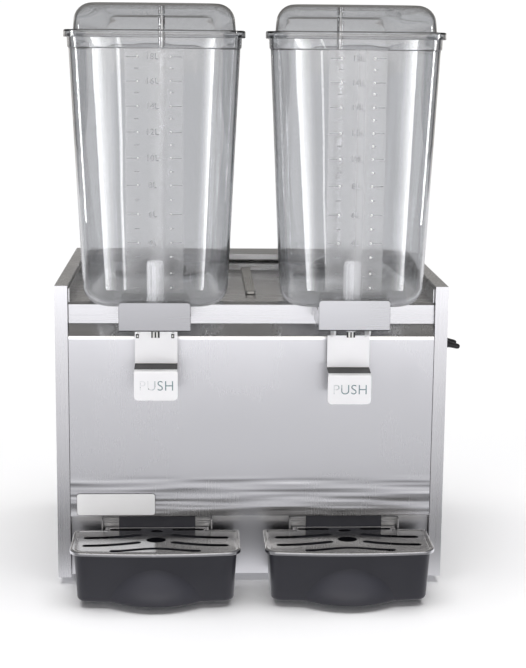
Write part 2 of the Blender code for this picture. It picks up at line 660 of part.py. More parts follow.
def slot(cx, width, half, line, n=1):
    """Slot outline in plan, with round ends; line gives its middle's y at t from 0 to 1 along x."""
    top, low = [], []
    for i in range(n + 1):
        t = i / n
        x = cx - half + width / 2 + (2 * half - width) * t
        top.append((x, line(t) + width / 2))
        low.append((x, line(t) - width / 2))
    r = width / 2
    end0 = [(top[0][0] - r * math.sin(math.radians(a)), line(0) + r * math.cos(math.radians(a))) for a in (60, 120)]
    end1 = [(top[-1][0] + r * math.sin(math.radians(a)), line(1) + r * math.cos(math.radians(a))) for a in (120, 60)]
    return top[::-1] + end0 + low + end1


def grille_slots():
    """Outlines of the eight slots and the two ovals."""
    found = []
    for cy, rx, ry in ((-12.6, 7.0, 4.4), (-44.0, 10.6, 9.0)):
        found.append([(rx * math.cos(math.radians(a)), cy + ry * math.sin(math.radians(a))) for a in range(0, 360, 24)])
    for s in (-1, 1):
        def rise(outer, gain):                      # flat at the outer end, turning to the rear at the inner end
            return lambda t: outer + gain * (1 - t if s > 0 else t) ** 2
        found.append(slot(s * 34.7, 6.4, 17.6, lambda t: -7.0))
        found.append(slot(s * 47.6, 7.2, 31.6, rise(-36.4, 9.6), 6))
        found.append(slot(s * 47.4, 7.2, 31.4, rise(-63.0, 10.4), 6))
    found.append(slot(0.0, 6.2, 48.8, lambda t: -80.9 + 7.6 * math.sin(math.pi * t) ** 2, 14))
    return found


def grille():
    top = TRAY_Z1 + 0.6
    rings = [rim_ring(TRAY_Z1 - 1.1, 2.0), rim_ring(TRAY_Z1 - 4.0, 2.0), rim_ring(TRAY_Z1 - 4.0, 0.4), rim_ring(TRAY_Z1 - 3.4, 0.0),
             rim_ring(top - 1.0, 0.0), rim_ring(top, 1.0), rim_ring(top, 4.2), rim_ring(top - 0.9, 4.9), rim_ring(top - 0.9, 5.7),
             rim_ring(top - 0.4, 6.1)]
    bm = bmesh.new()
    loft(bm, rings)
    for s in grille_slots():
        bm = cut(bm, prism(s, "z", TRAY_Z1 - 8, TRAY_Z1 + 5))
    return bm


def bracket():
    y0 = HOOK[2] + GAP + 0.2
    top = BASE_Z + 69.0
    bm = boxes((-61.5, 61.5, y0, y0 + 1.4, TRAY_Z0 + 29, top))
    return join(bm, boxes((-61.5, 61.5, y0 + 0.5, KICK_Y - GAP, TRAY_Z0 + 29, TRAY_Z0 + 32)))


# ---------------------------------------------------------------- both stations
CLEAR = (0.85, 0.87, 0.9)
for name, s in (("left", -1), ("right", 1)):
    x = s * PITCH / 2
    axis = (x, PUMP_Y, DECK_Z)
    tap = (x, TAP_Y, BOWL_Z)
    piece(f"evaporator_{name}", moved(cold_plate(), x), material(f"steel_evaporator_{name}", (0.62, 0.62, 0.63), 0.25, 1.0), axis)
    piece(f"bowl_seal_{name}", moved(seal(), x), material(f"silicone_seal_{name}", (0.7, 0.7, 0.68), 0.6), axis)
    piece(f"bowl_{name}", moved(bowl(), x), material(f"clear_bowl_{name}", CLEAR, 0.05, 0, 1.0), axis)
    piece(f"lid_{name}", moved(lid(), x), material(f"clear_lid_{name}", CLEAR, 0.08, 0, 1.0), axis)
    piece(f"impeller_{name}", moved(impeller(), x), material(f"white_impeller_{name}", (0.85, 0.85, 0.85), 0.4), axis)
    piece(f"pump_cover_{name}", moved(pump_cover(), x), material(f"clear_pump_cover_{name}", (0.8, 0.82, 0.84), 0.2), axis)
    piece(f"spray_tube_{name}", moved(spray_tube(), x), material(f"steel_tube_{name}", (0.75, 0.75, 0.76), 0.2, 1.0), axis)
    piece(f"pump_motor_{name}", moved(pump_motor(), x), material(f"black_motor_{name}", (0.05, 0.05, 0.05), 0.5), axis)
    pin = (x, PIN_Y, PIN_Z)
    piece(f"tap_cover_{name}", moved(tap_cover(s > 0), x), material(f"steel_cover_{name}", (0.62, 0.63, 0.65), 0.3, 1.0), pin)
    piece(f"push_lever_{name}", moved(lever(RIGHT_DROP if s > 0 else 0.0), x), material(f"steel_lever_{name}", (0.8, 0.8, 0.8), 0.25, 1.0), pin)
    piece(f"lever_pin_{name}", moved(lever_pin(), x), material(f"steel_pin_{name}", (0.6, 0.6, 0.6), 0.3, 1.0), pin)
    piece(f"valve_piston_{name}", moved(piston(), x), material(f"white_piston_{name}", (0.9, 0.9, 0.88), 0.35), tap)
    piece(f"tap_spout_{name}", moved(spout(), x), material(f"steel_spout_{name}", (0.6, 0.6, 0.6), 0.3, 1.0), tap)
    piece(f"valve_spring_{name}", moved(spring(), x), material(f"spring_wire_{name}", (0.7, 0.7, 0.7), 0.3, 1.0), tap)
    low = (x, RIM_REAR, TRAY_Z0)
    piece(f"drip_tray_{name}", moved(tray(), x), material(f"charcoal_plastic_{name}", (0.055, 0.055, 0.06), 0.45), low)
    piece(f"drip_grille_{name}", moved(grille(), x), material(f"steel_grille_{name}", (0.7, 0.7, 0.71), 0.22, 1.0), low)
    piece(f"tray_bracket_{name}", moved(bracket(), x), material(f"steel_bracket_{name}", (0.6, 0.6, 0.6), 0.35, 1.0), low)


# ---------------------------------------------------------------- switches
for k, y in enumerate(SWITCH_Y, 1):
    w = CAB_W / 2
    body = boxes((w - 36, w - 12, y - 8, y + 8, SWITCH_Z - 13, SWITCH_Z + 13))
    body = join(body, turned([(5.8, -13), (5.8, 2.2)], (w, y, SWITCH_Z), "x", 12))
    body = join(body, turned([(8.6, 0.4), (8.6, 2.0)], (w, y, SWITCH_Z), "x", 6))
    piece(f"switch_body_{k}", body, material(f"black_switch_{k}", (0.04, 0.04, 0.04), 0.4))
    px = w + 7.6
    profile = [(0.8, -4.95)] + [(5 * math.cos(math.radians(a)), 5 * math.sin(math.radians(a))) for a in (-60, -30, 0)]
    profile += [(4.4, 2.6), (3.3, 7.5), (3.0, 14.5), (2.3, 16.6), (0.8, 17.4)]
    boot = turned(profile, (px, y, SWITCH_Z), "x", 12)
    boot = turn(boot, (px, y, SWITCH_Z), SWITCH_TILT, "Y")
    piece(f"switch_lever_{k}", boot, material(f"rubber_boot_{k}", (0.03, 0.03, 0.03), 0.35), (px, y, SWITCH_Z))


# ---------------------------------------------------------------- cooling unit
floor_z = BASE_Z + 3.2 + GAP
comp = turned([(50, 12), (56, 20), (56, 92), (48, 112), (26, 122), (8, 125)], (-112, 218, floor_z), "z", 20)
comp = join(comp, boxes((-168, -56, 180, 256, floor_z + 8, floor_z + 15)))
for cx, cy in ((-160, 188), (-64, 188), (-160, 248), (-64, 248)):
    comp = join(comp, turned([(7, 0), (7, 9)], (cx, cy, floor_z), "z", 8))
piece("compressor", comp, material("black_compressor", (0.03, 0.03, 0.03), 0.45))

cond = boxes((-24, 188, 268, 300, floor_z, floor_z + 196))
grooves = []
for k in range(10):
    gx = -14 + k * 19.6
    grooves.append((gx, gx + 11.0, 262, 290, floor_z + 6, floor_z + 190))
cond = cut(cond, boxes(*grooves))
piece("condenser", cond, material("aluminium_fins", (0.65, 0.65, 0.66), 0.4, 1.0))

motor = turned([(25, -66), (28, -63), (28, -14), (25, -11)], (FAN_X, FAN_Y, FAN_Z), "y", 18)
motor = join(motor, turned([(2.6, -12), (2.6, 6)], (FAN_X, FAN_Y, FAN_Z), "y", 10))
motor = join(motor, boxes((FAN_X - 14, FAN_X + 14, FAN_Y - 52, FAN_Y - 26, floor_z, FAN_Z - 20)))
motor = join(motor, boxes((FAN_X - 30, FAN_X + 30, FAN_Y - 60, FAN_Y - 20, floor_z, floor_z + 3)))
piece("fan_motor", motor, material("grey_motor", (0.3, 0.3, 0.31), 0.4, 0.6))

fan = turned([(3.0, -6), (15, -6), (15, 8), (3.0, 8)], (FAN_X, FAN_Y, FAN_Z), "y", 14, ring=True)
for k in range(5):
    blade = bmesh.new()
    rings = []
    for r, half_chord, pitch_angle in ((13.0, 9, 38), (34.0, 17, 30), (56.0, 21, 24), (70.0, 16, 22)):
        c, sn = math.cos(math.radians(pitch_angle)), math.sin(math.radians(pitch_angle))
        ring = [(-half_chord, -0.7), (half_chord, -0.7), (half_chord, 0.7), (-half_chord, 0.7)]
        rings.append([(u * c - v * sn, u * sn + v * c, r) for u, v in ring])
    loft(blade, rings)
    blade = turn(blade, (0, 0, 0), math.radians(72 * k), "Y")
    fan = join(fan, moved(blade, FAN_X, FAN_Y + 1, FAN_Z))
piece("fan_blade", fan, material("black_fan", (0.05, 0.05, 0.05), 0.5), (FAN_X, FAN_Y, FAN_Z))

route = [(-112, 218, floor_z + 126), (-112, 218, floor_z + 136), (-106, 224, floor_z + 146), (-90, 236, floor_z + 151),
         (-70, 252, floor_z + 154), (-52, 272, floor_z + 156), (-44, 284, floor_z + 156), (-36, 286, floor_z + 156), (-24.6, 286, floor_z + 156)]
piece("refrigerant_line", pipe(route, 3.2, 8), material("copper_tube", (0.7, 0.35, 0.2), 0.3, 1.0))
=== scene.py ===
"""Looks of the twin-bowl cold drink dispenser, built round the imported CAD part.

Shapes are made in millimetres, with X = 0 in the middle of the cabinet, Y = 0 in the plane of
its front flanges and Z = 0 on the floor, and are then set in the frame of the CAD.
"""

import json
import math

import bmesh
import bpy
from mathutils import Matrix, Vector

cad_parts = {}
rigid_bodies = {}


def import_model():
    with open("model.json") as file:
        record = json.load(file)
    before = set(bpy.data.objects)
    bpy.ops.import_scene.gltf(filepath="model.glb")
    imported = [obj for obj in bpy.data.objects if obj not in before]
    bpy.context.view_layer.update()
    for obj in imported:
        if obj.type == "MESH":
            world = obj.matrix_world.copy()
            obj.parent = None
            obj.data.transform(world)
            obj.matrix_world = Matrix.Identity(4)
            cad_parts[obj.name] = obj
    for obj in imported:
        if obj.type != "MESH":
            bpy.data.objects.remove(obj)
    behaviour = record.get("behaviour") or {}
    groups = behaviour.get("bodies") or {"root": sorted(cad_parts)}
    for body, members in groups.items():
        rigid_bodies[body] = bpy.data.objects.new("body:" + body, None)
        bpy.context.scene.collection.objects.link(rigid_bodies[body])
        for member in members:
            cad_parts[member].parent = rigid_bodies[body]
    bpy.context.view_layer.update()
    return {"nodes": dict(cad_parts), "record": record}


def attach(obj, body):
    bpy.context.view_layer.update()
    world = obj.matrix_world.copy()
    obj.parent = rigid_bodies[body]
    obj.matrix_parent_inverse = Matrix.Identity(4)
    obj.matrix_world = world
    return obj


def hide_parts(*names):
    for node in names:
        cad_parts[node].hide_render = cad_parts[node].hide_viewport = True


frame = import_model()
NODES = frame["nodes"]

# ---------------------------------------------------------------- dimensions (mm), as in the CAD
OX, OY = -12.4, -115.3
GAP = 0.3
FOOT_H = 8.0
BASE_Z = FOOT_H + GAP
CAB_W = 430.0
CAB_D = 324.0
CAB_TOP = BASE_Z + 330.5
PANEL_BOTTOM = BASE_Z + 71.0
DECK_Z = BASE_Z + 312.5
PITCH = 209.0
PUMP_Y = 178.0
PLATE_R = 53.5
BOWL_Z = DECK_Z + 2.8
BOWL_FLOOR = 3.0
BOWL_WALL = 2.6
BOWL_CORNER = 25.0
BOWL_BOW = 0.0011
BOWL_TAPER = 0.0006
BOWL_TOP = BASE_Z + 599.0
COLLAR_Z = BASE_Z + 585.5
LID_RIM_Z = BASE_Z + 595.3
LID_SHELF_Z = BASE_Z + 603.0
LID_TOP = BASE_Z + 630.5
TAP_Y = -39.0
PIN_Y = -60.0
PIN_Z = BASE_Z + 303.0
COVER_FRONT = -74.0
COVER_W = 75.0
COVER_Z0 = BASE_Z + 294.6
COVER_Z1 = BASE_Z + 324.4
LEVER_W = 46.0
LEVER_Y = -14.5
LEVER_TOP = BASE_Z + 283.2
LEVER_LOW = BASE_Z + 247.2
PAD_Y = -35.0
PAD_W = 47.0
PAD_Z0 = BASE_Z + 211.4
PAD_Z1 = BASE_Z + 244.6
RIGHT_COVER = (1.1, 2.9)
RIGHT_DROP = 4.2
LUG_Z = BASE_Z + 295.4
KICK_Y = 9.3
TRAY_Z0 = BASE_Z - 0.9
TRAY_Z1 = BASE_Z + 57.5
RIM_W = 183.0
RIM_FRONT = -91.0
RIM_REAR = -9.0
RIM_MID = (58.0, 1.6)
BODY_W = 174.6
BODY_FRONT = -88.5
BODY_MID = (55.0, -0.9)
BODY_TOP = TRAY_Z1 - 3.0
BULGE_H = 39.3
BULGE_W = 49.0
BULGE_OUT = 0.00671
HOOK = (42.5, 2.1, 3.9)
SWITCH_Y = (61.0, 85.0)
SWITCH_Z = BASE_Z + 256.0
SWITCH_TILT = math.radians(13.0)

BODY = {}
for _name, _body in frame["record"]["behaviour"]["bodies"].items():
    for _node in (_body["nodes"] if isinstance(_body, dict) else _body):
        BODY[_node] = _name


# ---------------------------------------------------------------- node helpers
class Shader:
    """A material under construction."""

    def __init__(self, name):
        self.mat = bpy.data.materials.new(name)
        self.mat.use_nodes = True
        self.tree = self.mat.node_tree
        self.main = self.tree.nodes["Principled BSDF"]
        self.space = None

    def node(self, kind, **values):
        made = self.tree.nodes.new(kind)
        for key, value in values.items():
            setattr(made, key, value)
        return made

    def link(self, a, b):
        self.tree.links.new(a, b)

    def set(self, **values):
        for key, value in values.items():
            socket = self.main.inputs[key.replace("_", " ")]
            socket.default_value = (*value, 1.0) if isinstance(value, tuple) and len(value) == 3 else value
        return self

    def place(self):
        if self.space is None:
            self.space = self.node("ShaderNodeTexCoord").outputs["Object"]
        return self.space

    def scaled(self, scale=(1, 1, 1), shift=(0, 0, 0)):
        made = self.node("ShaderNodeMapping")
        made.inputs["Scale"].default_value = scale
        made.inputs["Location"].default_value = shift
        self.link(self.place(), made.inputs["Vector"])
        return made.outputs["Vector"]

    def noise(self, vector, scale, detail=3.0, rough=0.5, distortion=0.0):
        made = self.node("ShaderNodeTexNoise")
        made.inputs["Scale"].default_value = scale
        made.inputs["Detail"].default_value = detail
        made.inputs["Roughness"].default_value = rough
        made.inputs["Distortion"].default_value = distortion
        self.link(vector, made.inputs["Vector"])
        return made.outputs["Fac"]

    def axes(self):
        made = self.node("ShaderNodeSeparateXYZ")
        self.link(self.place(), made.inputs["Vector"])
        return made.outputs

    def math(self, operation, a, b=None, c=None, clamp=False):
        made = self.node("ShaderNodeMath", operation=operation, use_clamp=clamp)
        for socket, value in zip(made.inputs, (a, b, c)):
            if value is None:
                continue
            if isinstance(value, (int, float)):
                socket.default_value = value
            else:
                self.link(value, socket)
        return made.outputs[0]

    def remap(self, value, a0, a1, b0, b1, kind="LINEAR"):
        made = self.node("ShaderNodeMapRange", interpolation_type=kind)
        self.link(value, made.inputs["Value"])
        for key, number in (("From Min", a0), ("From Max", a1), ("To Min", b0), ("To Max", b1)):
            made.inputs[key].default_value = number
        return made.outputs["Result"]

    def ramp(self, value, stops):
        made = self.node("ShaderNodeValToRGB")
        made.color_ramp.interpolation = "EASE"
        items = made.color_ramp.elements
        while len(items) < len(stops):
            items.new(0.5)
        for item, (spot, colour) in zip(items, stops):
            item.position = spot
            item.color = (*colour, 1.0)
        self.link(value, made.inputs["Fac"])
        return made.outputs["Color"]

    def mix(self, factor, a, b):
        made = self.node("ShaderNodeMix", data_type="RGBA")
        self.link(factor, made.inputs["Factor"])
        for socket, value in ((made.inputs[6], a), (made.inputs[7], b)):
            if isinstance(value, tuple):
                socket.default_value = (*value, 1.0)
            else:
                self.link(value, socket)
        return made.outputs[2]

    def bump(self, height, strength, distance, normal=None):
        made = self.node("ShaderNodeBump")
        made.inputs["Strength"].default_value = strength
        made.inputs["Distance"].default_value = distance
        self.link(height, made.inputs["Height"])
        if normal is not None:
            self.link(normal, made.inputs["Normal"])
        return made.outputs["Normal"]

    def feed(self, output, name):
        self.link(output, self.main.inputs[name])


def grey(value, tint=(1.0, 1.0, 1.0)):
    return tuple(value * c for c in tint)


# ---------------------------------------------------------------- materials
def steel(name, level, rough, along="z", streak=0.10, blotch=0.06, tint=(0.985, 0.985, 1.0), depth=0.10, stains=0.0, metal=1.0, shade=None, vary=0.18, grain=0.0, waves=None):
    """Brushed stainless steel: fine scratches along one axis, broad cloudy variation, rare deeper lines."""
    s = Shader(name)
    fine, long = 1900.0, 6.0
    scale = {"x": (long, fine, fine), "y": (fine, long, fine), "z": (fine, fine, long)}[along]
    lines = s.noise(s.scaled(scale), 1.0, 3.0, 0.62)
    coarse = s.noise(s.scaled(tuple(v * 0.22 if v > 100 else v * 0.5 for v in scale), (3.1, 1.7, 0.4)), 1.0, 2.0, 0.5)
    cloud = s.noise(s.scaled((1, 1, 1), (0.3, 0.8, 0.1)), 11.0, 3.0, 0.55)
    both = s.math("ADD", s.math("MULTIPLY", lines, 0.6), s.math("MULTIPLY", coarse, 0.4))
    tone = s.math("ADD", s.remap(both, 0.3, 0.7, -streak, streak), s.remap(cloud, 0.35, 0.65, -blotch, blotch))
    colour = s.ramp(s.remap(tone, -0.2, 0.2, 0.0, 1.0), [(0.0, grey(level * 0.8, tint)), (0.5, grey(level, tint)), (1.0, grey(min(level * 1.14, 0.97), tint))])
    # painted shade: with shade given, the colour inside a box of the object's space (z0 to z1, y0 to y1) is darkened to
    # part of the level
    if shade:
        z0, z1, y0, y1, part = shade
        _, y, z = s.axes()
        inside = s.math("MULTIPLY", s.math("MULTIPLY", s.math("GREATER_THAN", z, z0), s.math("LESS_THAN", z, z1)),
                        s.math("MULTIPLY", s.math("GREATER_THAN", y, y0), s.math("LESS_THAN", y, y1)))
        colour = s.mix(inside, colour, grey(level * part))
    s.feed(colour, "Base Color")
    spread = s.math("ADD", s.remap(both, 0.3, 0.7, rough * (1 - vary), rough * (1 + vary)), s.remap(cloud, 0.35, 0.65, -0.03, 0.03 + stains))
    s.feed(spread, "Roughness")
    level_normal = None
    if waves:                                             # long flat waves near the lower fold
        top, amount = waves
        flow = s.math("SUBTRACT", s.noise(s.scaled((6.5, 1.0, 95.0), (0.37, 0.0, 0.2)), 1.0, 1.0, 0.4), 0.5)
        fade = s.remap(s.axes()[2], top - 0.010, top, 1.0, 0.0, "SMOOTHSTEP")
        level_normal = s.bump(s.math("MULTIPLY", flow, fade), 1.0, amount)
    s.feed(s.bump(both, depth, 0.0002, level_normal), "Normal")
    s.set(Metallic=metal)
    if grain:                                             # reflections spread across the brush lines
        s.set(Anisotropic=grain)
        s.feed(s.node("ShaderNodeTangent", direction_type="RADIAL", axis="Z").outputs["Tangent"], "Tangent")
    return s.mat


def polished(name, level, rough, tint=(1.0, 1.0, 1.0), scratch=0.05, scale=420.0):
    """Plain or polished metal with hairline scratches and slight fogging."""
    s = Shader(name)
    marks = s.noise(s.scaled((1, 1, 1)), scale, 4.0, 0.6, 0.4)
    fog = s.noise(s.scaled((1, 1, 1), (0.7, 0.2, 0.9)), 38.0, 3.0, 0.5)
    s.feed(s.ramp(s.remap(fog, 0.3, 0.7, 0.0, 1.0), [(0.0, grey(level * 0.9, tint)), (1.0, grey(min(level * 1.06, 0.97), tint))]), "Base Color")
    s.feed(s.math("ADD", s.remap(fog, 0.3, 0.7, rough * 0.75, rough * 1.3), s.remap(marks, 0.4, 0.7, 0.0, 0.03)), "Roughness")
    s.feed(s.bump(marks, scratch, 0.00012), "Normal")
    s.set(Metallic=1.0)
    return s.mat


def plastic(name, colour, rough, grain=0.12, scale=1400.0, depth=0.00008, sheen=0.0, variation=0.06, spec=0.5):
    """Moulded plastic or rubber with a fine spark-eroded grain and slight handling gloss."""
    s = Shader(name)
    fine = s.noise(s.scaled((1, 1, 1)), scale, 3.0, 0.6)
    broad = s.noise(s.scaled((1, 1, 1), (0.4, 0.1, 0.6)), 16.0, 3.0, 0.5)
    low = tuple(c * (1 - variation) for c in colour)
    high = tuple(min(1.0, c * (1 + variation)) for c in colour)
    s.feed(s.ramp(s.remap(broad, 0.3, 0.7, 0.0, 1.0), [(0.0, low), (1.0, high)]), "Base Color")
    s.feed(s.math("ADD", s.remap(broad, 0.3, 0.7, rough * 0.88, rough * 1.12), s.remap(fine, 0.3, 0.7, -0.03, 0.03)), "Roughness")
    s.feed(s.bump(fine, grain, depth), "Normal")
    s.set(Specular_IOR_Level=spec)
    if sheen:
        s.set(Sheen_Weight=sheen)
    return s.mat


def clear(name, tint, centre=None, front=None, rough=0.015, milky=0.10):
    """Clear moulded plastic. The graduated band on a bowl's front wall is frosted, with a fine sparkle."""
    s = Shader(name)
    flow = s.noise(s.scaled((1.0, 1.0, 0.35)), 13.0, 2.0, 0.5)
    if centre is None:
        s.feed(s.remap(flow, 0.3, 0.7, rough * 0.5, rough * 1.6), "Roughness")
        s.feed(s.bump(flow, 0.06, 0.0012), "Normal")
    else:
        x, y, z = s.axes()
        off = s.math("ABSOLUTE", s.math("SUBTRACT", x, centre))
        side = s.remap(off, 0.0296, 0.0300, 1.0, 0.0)
        near = s.math("LESS_THAN", y, front)
        low = s.remap(z, 0.3280, 0.3290, 0.0, 1.0)
        high = s.remap(z, 0.5932, 0.5936, 1.0, 0.0)
        band = s.math("MULTIPLY", s.math("MULTIPLY", side, near), s.math("MULTIPLY", low, high))
        grain = s.noise(s.scaled((1, 1, 1)), 1700.0, 2.0, 0.6)
        frost = s.math("MULTIPLY", band, s.remap(grain, 0.3, 0.7, 0.06, 0.15))
        s.feed(s.math("ADD", frost, s.remap(flow, 0.3, 0.7, rough * 0.5, rough * 1.6)), "Roughness")
        core = s.remap(s.math("ABSOLUTE", s.math("SUBTRACT", x, centre + 0.004)), 0.0, 0.014, 1.0, 0.0, "SMOOTHSTEP")
        milk = s.math("MULTIPLY", band, s.math("ADD", milky, s.math("MULTIPLY", core, 0.16)))
        swirl = s.noise(s.scaled((1.0, 1.0, 1.6)), 22.0, 3.0, 0.6, 1.2)
        haze = s.math("MULTIPLY", s.remap(z, 0.340, 0.364, 1.0, 0.0, "SMOOTHSTEP"), s.remap(swirl, 0.3, 0.7, 0.06, 0.20))
        milk = s.math("MAXIMUM", milk, haze)
        s.feed(s.math("SUBTRACT", 1.0, milk), "Transmission Weight")
        streaks = s.noise(s.scaled((1.0, 1.0, 0.02)), 160.0, 2.0, 0.5)
        plain = s.remap(off, 0.0600, 0.0660, 0.0, 1.0, "SMOOTHSTEP")
        height = s.math("ADD", s.math("MULTIPLY", flow, 0.5), s.math("MULTIPLY", s.math("MULTIPLY", plain, streaks), 0.12))
        s.feed(s.bump(height, 0.10, 0.0012), "Normal")
    colour = s.ramp(s.remap(flow, 0.3, 0.7, 0.0, 1.0), [(0.0, tuple(c * 0.985 for c in tint)), (1.0, tint)])
    if centre is not None:                                # painted shade: the side walls are darkened in thin vertical streaks, and a dark band of painted shade sits at the step under the collar. The middle of the front wall is also tinted a little darker.
        wall = s.remap(off, 0.0640, 0.0700, 0.0, 1.0, "SMOOTHSTEP")
        lines = s.noise(s.scaled((1.0, 1.0, 0.012), (0.2, 0.5, 0.0)), 260.0, 2.0, 0.6)
        dark = s.math("MULTIPLY", wall, s.remap(lines, 0.35, 0.65, 0.0, 0.30))
        step = s.math("MULTIPLY", s.math("MULTIPLY", s.remap(z, 0.5916, 0.5922, 0.0, 1.0), s.remap(z, 0.5936, 0.5942, 1.0, 0.0)), wall)
        colour = s.mix(s.math("MAXIMUM", dark, s.math("MULTIPLY", step, 0.75)), colour, (0.22, 0.22, 0.23))
        inner = s.remap(off, 0.0520, 0.0620, 1.0, 0.0, "SMOOTHSTEP")
        colour = s.mix(s.math("MULTIPLY", inner, 0.15), colour, (0.35, 0.35, 0.37))
    s.feed(colour, "Base Color")
    s.set(IOR=1.49)
    if centre is None:
        s.set(Transmission_Weight=1.0)
    return s.mat


def lettering(name, colour, rough=0.4):
    s = Shader(name)
    worn = s.noise(s.scaled((1, 1, 1)), 700.0, 3.0, 0.6)
    s.feed(s.ramp(s.remap(worn, 0.3, 0.7, 0.0, 1.0), [(0.0, tuple(c * 0.85 for c in colour)), (1.0, tuple(min(1, c * 1.1) for c in colour))]), "Base Color")
    s.feed(s.remap(worn, 0.3, 0.7, rough * 0.8, rough * 1.2), "Roughness")
    return s.mat


def worn_paint(name, middle, width, dark, light):
    """Paint in stamped letters, worn away towards one end of the word."""
    s = Shader(name)
    x = s.axes()[0]
    patchy = s.noise(s.scaled((1, 1, 1)), 240.0, 3.0, 0.6)
    along = s.math("ADD", s.remap(x, middle - width, middle + width, 0.0, 1.0), s.remap(patchy, 0.3, 0.7, -0.22, 0.22), clamp=True)
    s.feed(s.ramp(along, [(0.0, light), (0.42, tuple((a + b) / 2 for a, b in zip(light, dark))), (0.6, dark)]), "Base Color")
    s.feed(s.remap(patchy, 0.3, 0.7, 0.25, 0.4), "Roughness")
    s.set(Metallic=0.6)
    return s.mat


M_SIDE = steel("steel_side", 0.695, 0.28, "z", 0.03, 0.02, depth=0.03)
M_FRONT = steel("steel_front", 0.74, 0.26, "z", 0.010, 0.010, depth=0.008, vary=0.05, grain=0.75, waves=(0.127, 0.0013))
M_KICK = steel("steel_kick", 0.76, 0.32, "z", 0.03, 0.03, depth=0.02, vary=0.08, grain=0.6)
M_DECK = steel("steel_deck", 0.66, 0.26, "x", 0.06, 0.04, depth=0.05)
M_RIB = steel("steel_rib", 0.56, 0.32, "y", 0.10, 0.05, (1.0, 0.985, 0.95))
M_REAR = steel("steel_rear", 0.60, 0.36, "x", 0.10, 0.06)
M_BASE = steel("galvanised_base", 0.50, 0.45, "x", 0.06, 0.12)
# painted light and shade: both tap covers are the same steel, the left one painted darker and the right one lighter,
# for how light falls on each
M_COVER_LIT_AND_SHADED = {
    "left": steel("steel_cover_left", 0.385, 0.24, "x", 0.04, 0.02, (0.975, 0.98, 1.0), depth=0.04),
    "right": steel("steel_cover_right", 0.49, 0.24, "x", 0.04, 0.02, (0.975, 0.98, 1.0), depth=0.04),
}
# painted shade: in each lever's colour the slanted bend between plate and pad is darkened to 4% of the level
M_LEVER = {
    side: steel(f"steel_lever_{side}", 0.94 if side == "left" else 0.93, 0.36, "x", 0.02, 0.01, depth=0.03, metal=0.40,
                shade=((PAD_Z1 - d + 0.4) * 0.001, (LEVER_LOW - d + 1.0) * 0.001, (PAD_Y + 1.0 + OY) * 0.001, (LEVER_Y + 0.3 + OY) * 0.001, 0.04))
    for side, d in (("left", 0.0), ("right", RIGHT_DROP))
}
M_GRILLE = steel("steel_grille", 0.80, 0.17, "x", 0.03, 0.02, depth=0.03, vary=0.08)
M_TUBE = polished("tube_steel", 0.86, 0.06)
M_PISTON = steel("piston_steel", 0.96, 0.27, "z", 0.03, 0.02, depth=0.02, metal=0.6)
M_HAZY = clear("hazy_cover", (0.80, 0.81, 0.83), rough=0.10)
M_BRACKET = steel("steel_bracket", 0.62, 0.34, "x", 0.08, 0.04)
M_PLATE = steel("steel_cold_plate", 0.66, 0.24, "x", 0.06, 0.04)
M_BRIGHT = polished("bright_steel", 0.78, 0.12)
M_SCREW = polished("zinc_screw", 0.62, 0.26, (1.0, 0.99, 0.96))
M_ALU = polished("aluminium_fins", 0.66, 0.38, (1.0, 1.0, 1.0), 0.12)
M_COPPER = polished("copper_tube", 0.62, 0.28, (1.0, 0.58, 0.40), 0.08)
M_TRAY = plastic("charcoal_plastic", (0.032, 0.032, 0.040), 0.36, 0.16, 1500.0)
M_BLACK = plastic("black_plastic", (0.022, 0.022, 0.024), 0.42)
M_RUBBER = plastic("black_rubber", (0.016, 0.016, 0.018), 0.34, 0.10, 900.0)
M_FOOT = plastic("foot_rubber", (0.02, 0.02, 0.02), 0.75, 0.2, 700.0)
M_WHITE = plastic("white_plastic", (0.86, 0.86, 0.84), 0.34, 0.06, 600.0)
M_BADGE = plastic("white_enamel", (0.90, 0.90, 0.91), 0.22, 0.03, 300.0, variation=0.02)
M_EDGE = plastic("badge_edge", (0.10, 0.10, 0.11), 0.4)
M_SEAL = plastic("silicone", (0.62, 0.62, 0.60), 0.55, 0.1, 500.0)
M_MOTOR = plastic("motor_paint", (0.10, 0.10, 0.105), 0.45, 0.12, 500.0)
M_COMP = plastic("compressor_enamel", (0.018, 0.018, 0.02), 0.30, 0.08, 300.0)
M_MARK = lettering("mark_paint", (0.34, 0.345, 0.36))
M_DOT = lettering("mark_bright", (0.93, 0.935, 0.95), 0.25)


# ---------------------------------------------------------------- shapes (mm)
def box(bm, x0, x1, y0, y1, z0, z1):
    v = [bm.verts.new((x, y, z)) for x in (x0, x1) for y in (y0, y1) for z in (z0, z1)]
    for f in ((0, 1, 3, 2), (4, 6, 7, 5), (0, 4, 5, 1), (2, 3, 7, 6), (0, 2, 6, 4), (1, 5, 7, 3)):
        bm.faces.new([v[i] for i in f])
    return bm


def boxes(*dims):
    bm = bmesh.new()
    for d in dims:
        box(bm, *d)
    return bm


def loft(bm, rings, cap_start=True, cap_end=True):
    rows = [[bm.verts.new(p) for p in ring] for ring in rings]
    n = len(rows[0])
    for a, b in zip(rows, rows[1:]):
        for i in range(n):
            j = (i + 1) % n
            bm.faces.new((a[i], a[j], b[j], b[i]))
    if cap_start:
        bm.faces.new(list(reversed(rows[0])))
    if cap_end:
        bm.faces.new(rows[-1])
    return bm


def closed_loft(bm, rings):
    rows = [[bm.verts.new(p) for p in ring] for ring in rings]
    n, m = len(rows[0]), len(rows)
    for k in range(m):
        a, b = rows[k], rows[(k + 1) % m]
        for i in range(n):
            j = (i + 1) % n
            bm.faces.new((a[i], a[j], b[j], b[i]))
    return bm


def prism(outline, axis, a, b):
    put = {
        "x": lambda p, t: (t, p[0], p[1]),
        "y": lambda p, t: (p[0], t, p[1]),
        "z": lambda p, t: (p[0], p[1], t),
    }[axis]
    bm = bmesh.new()
    return loft(bm, [[put(p, a) for p in outline], [put(p, b) for p in outline]])


def arc(cx, cy, r, a0, a1, n):
    return [
        (cx + r * math.cos(math.radians(a0 + (a1 - a0) * i / n)), cy + r * math.sin(math.radians(a0 + (a1 - a0) * i / n)))
        for i in range(n + 1)
    ]


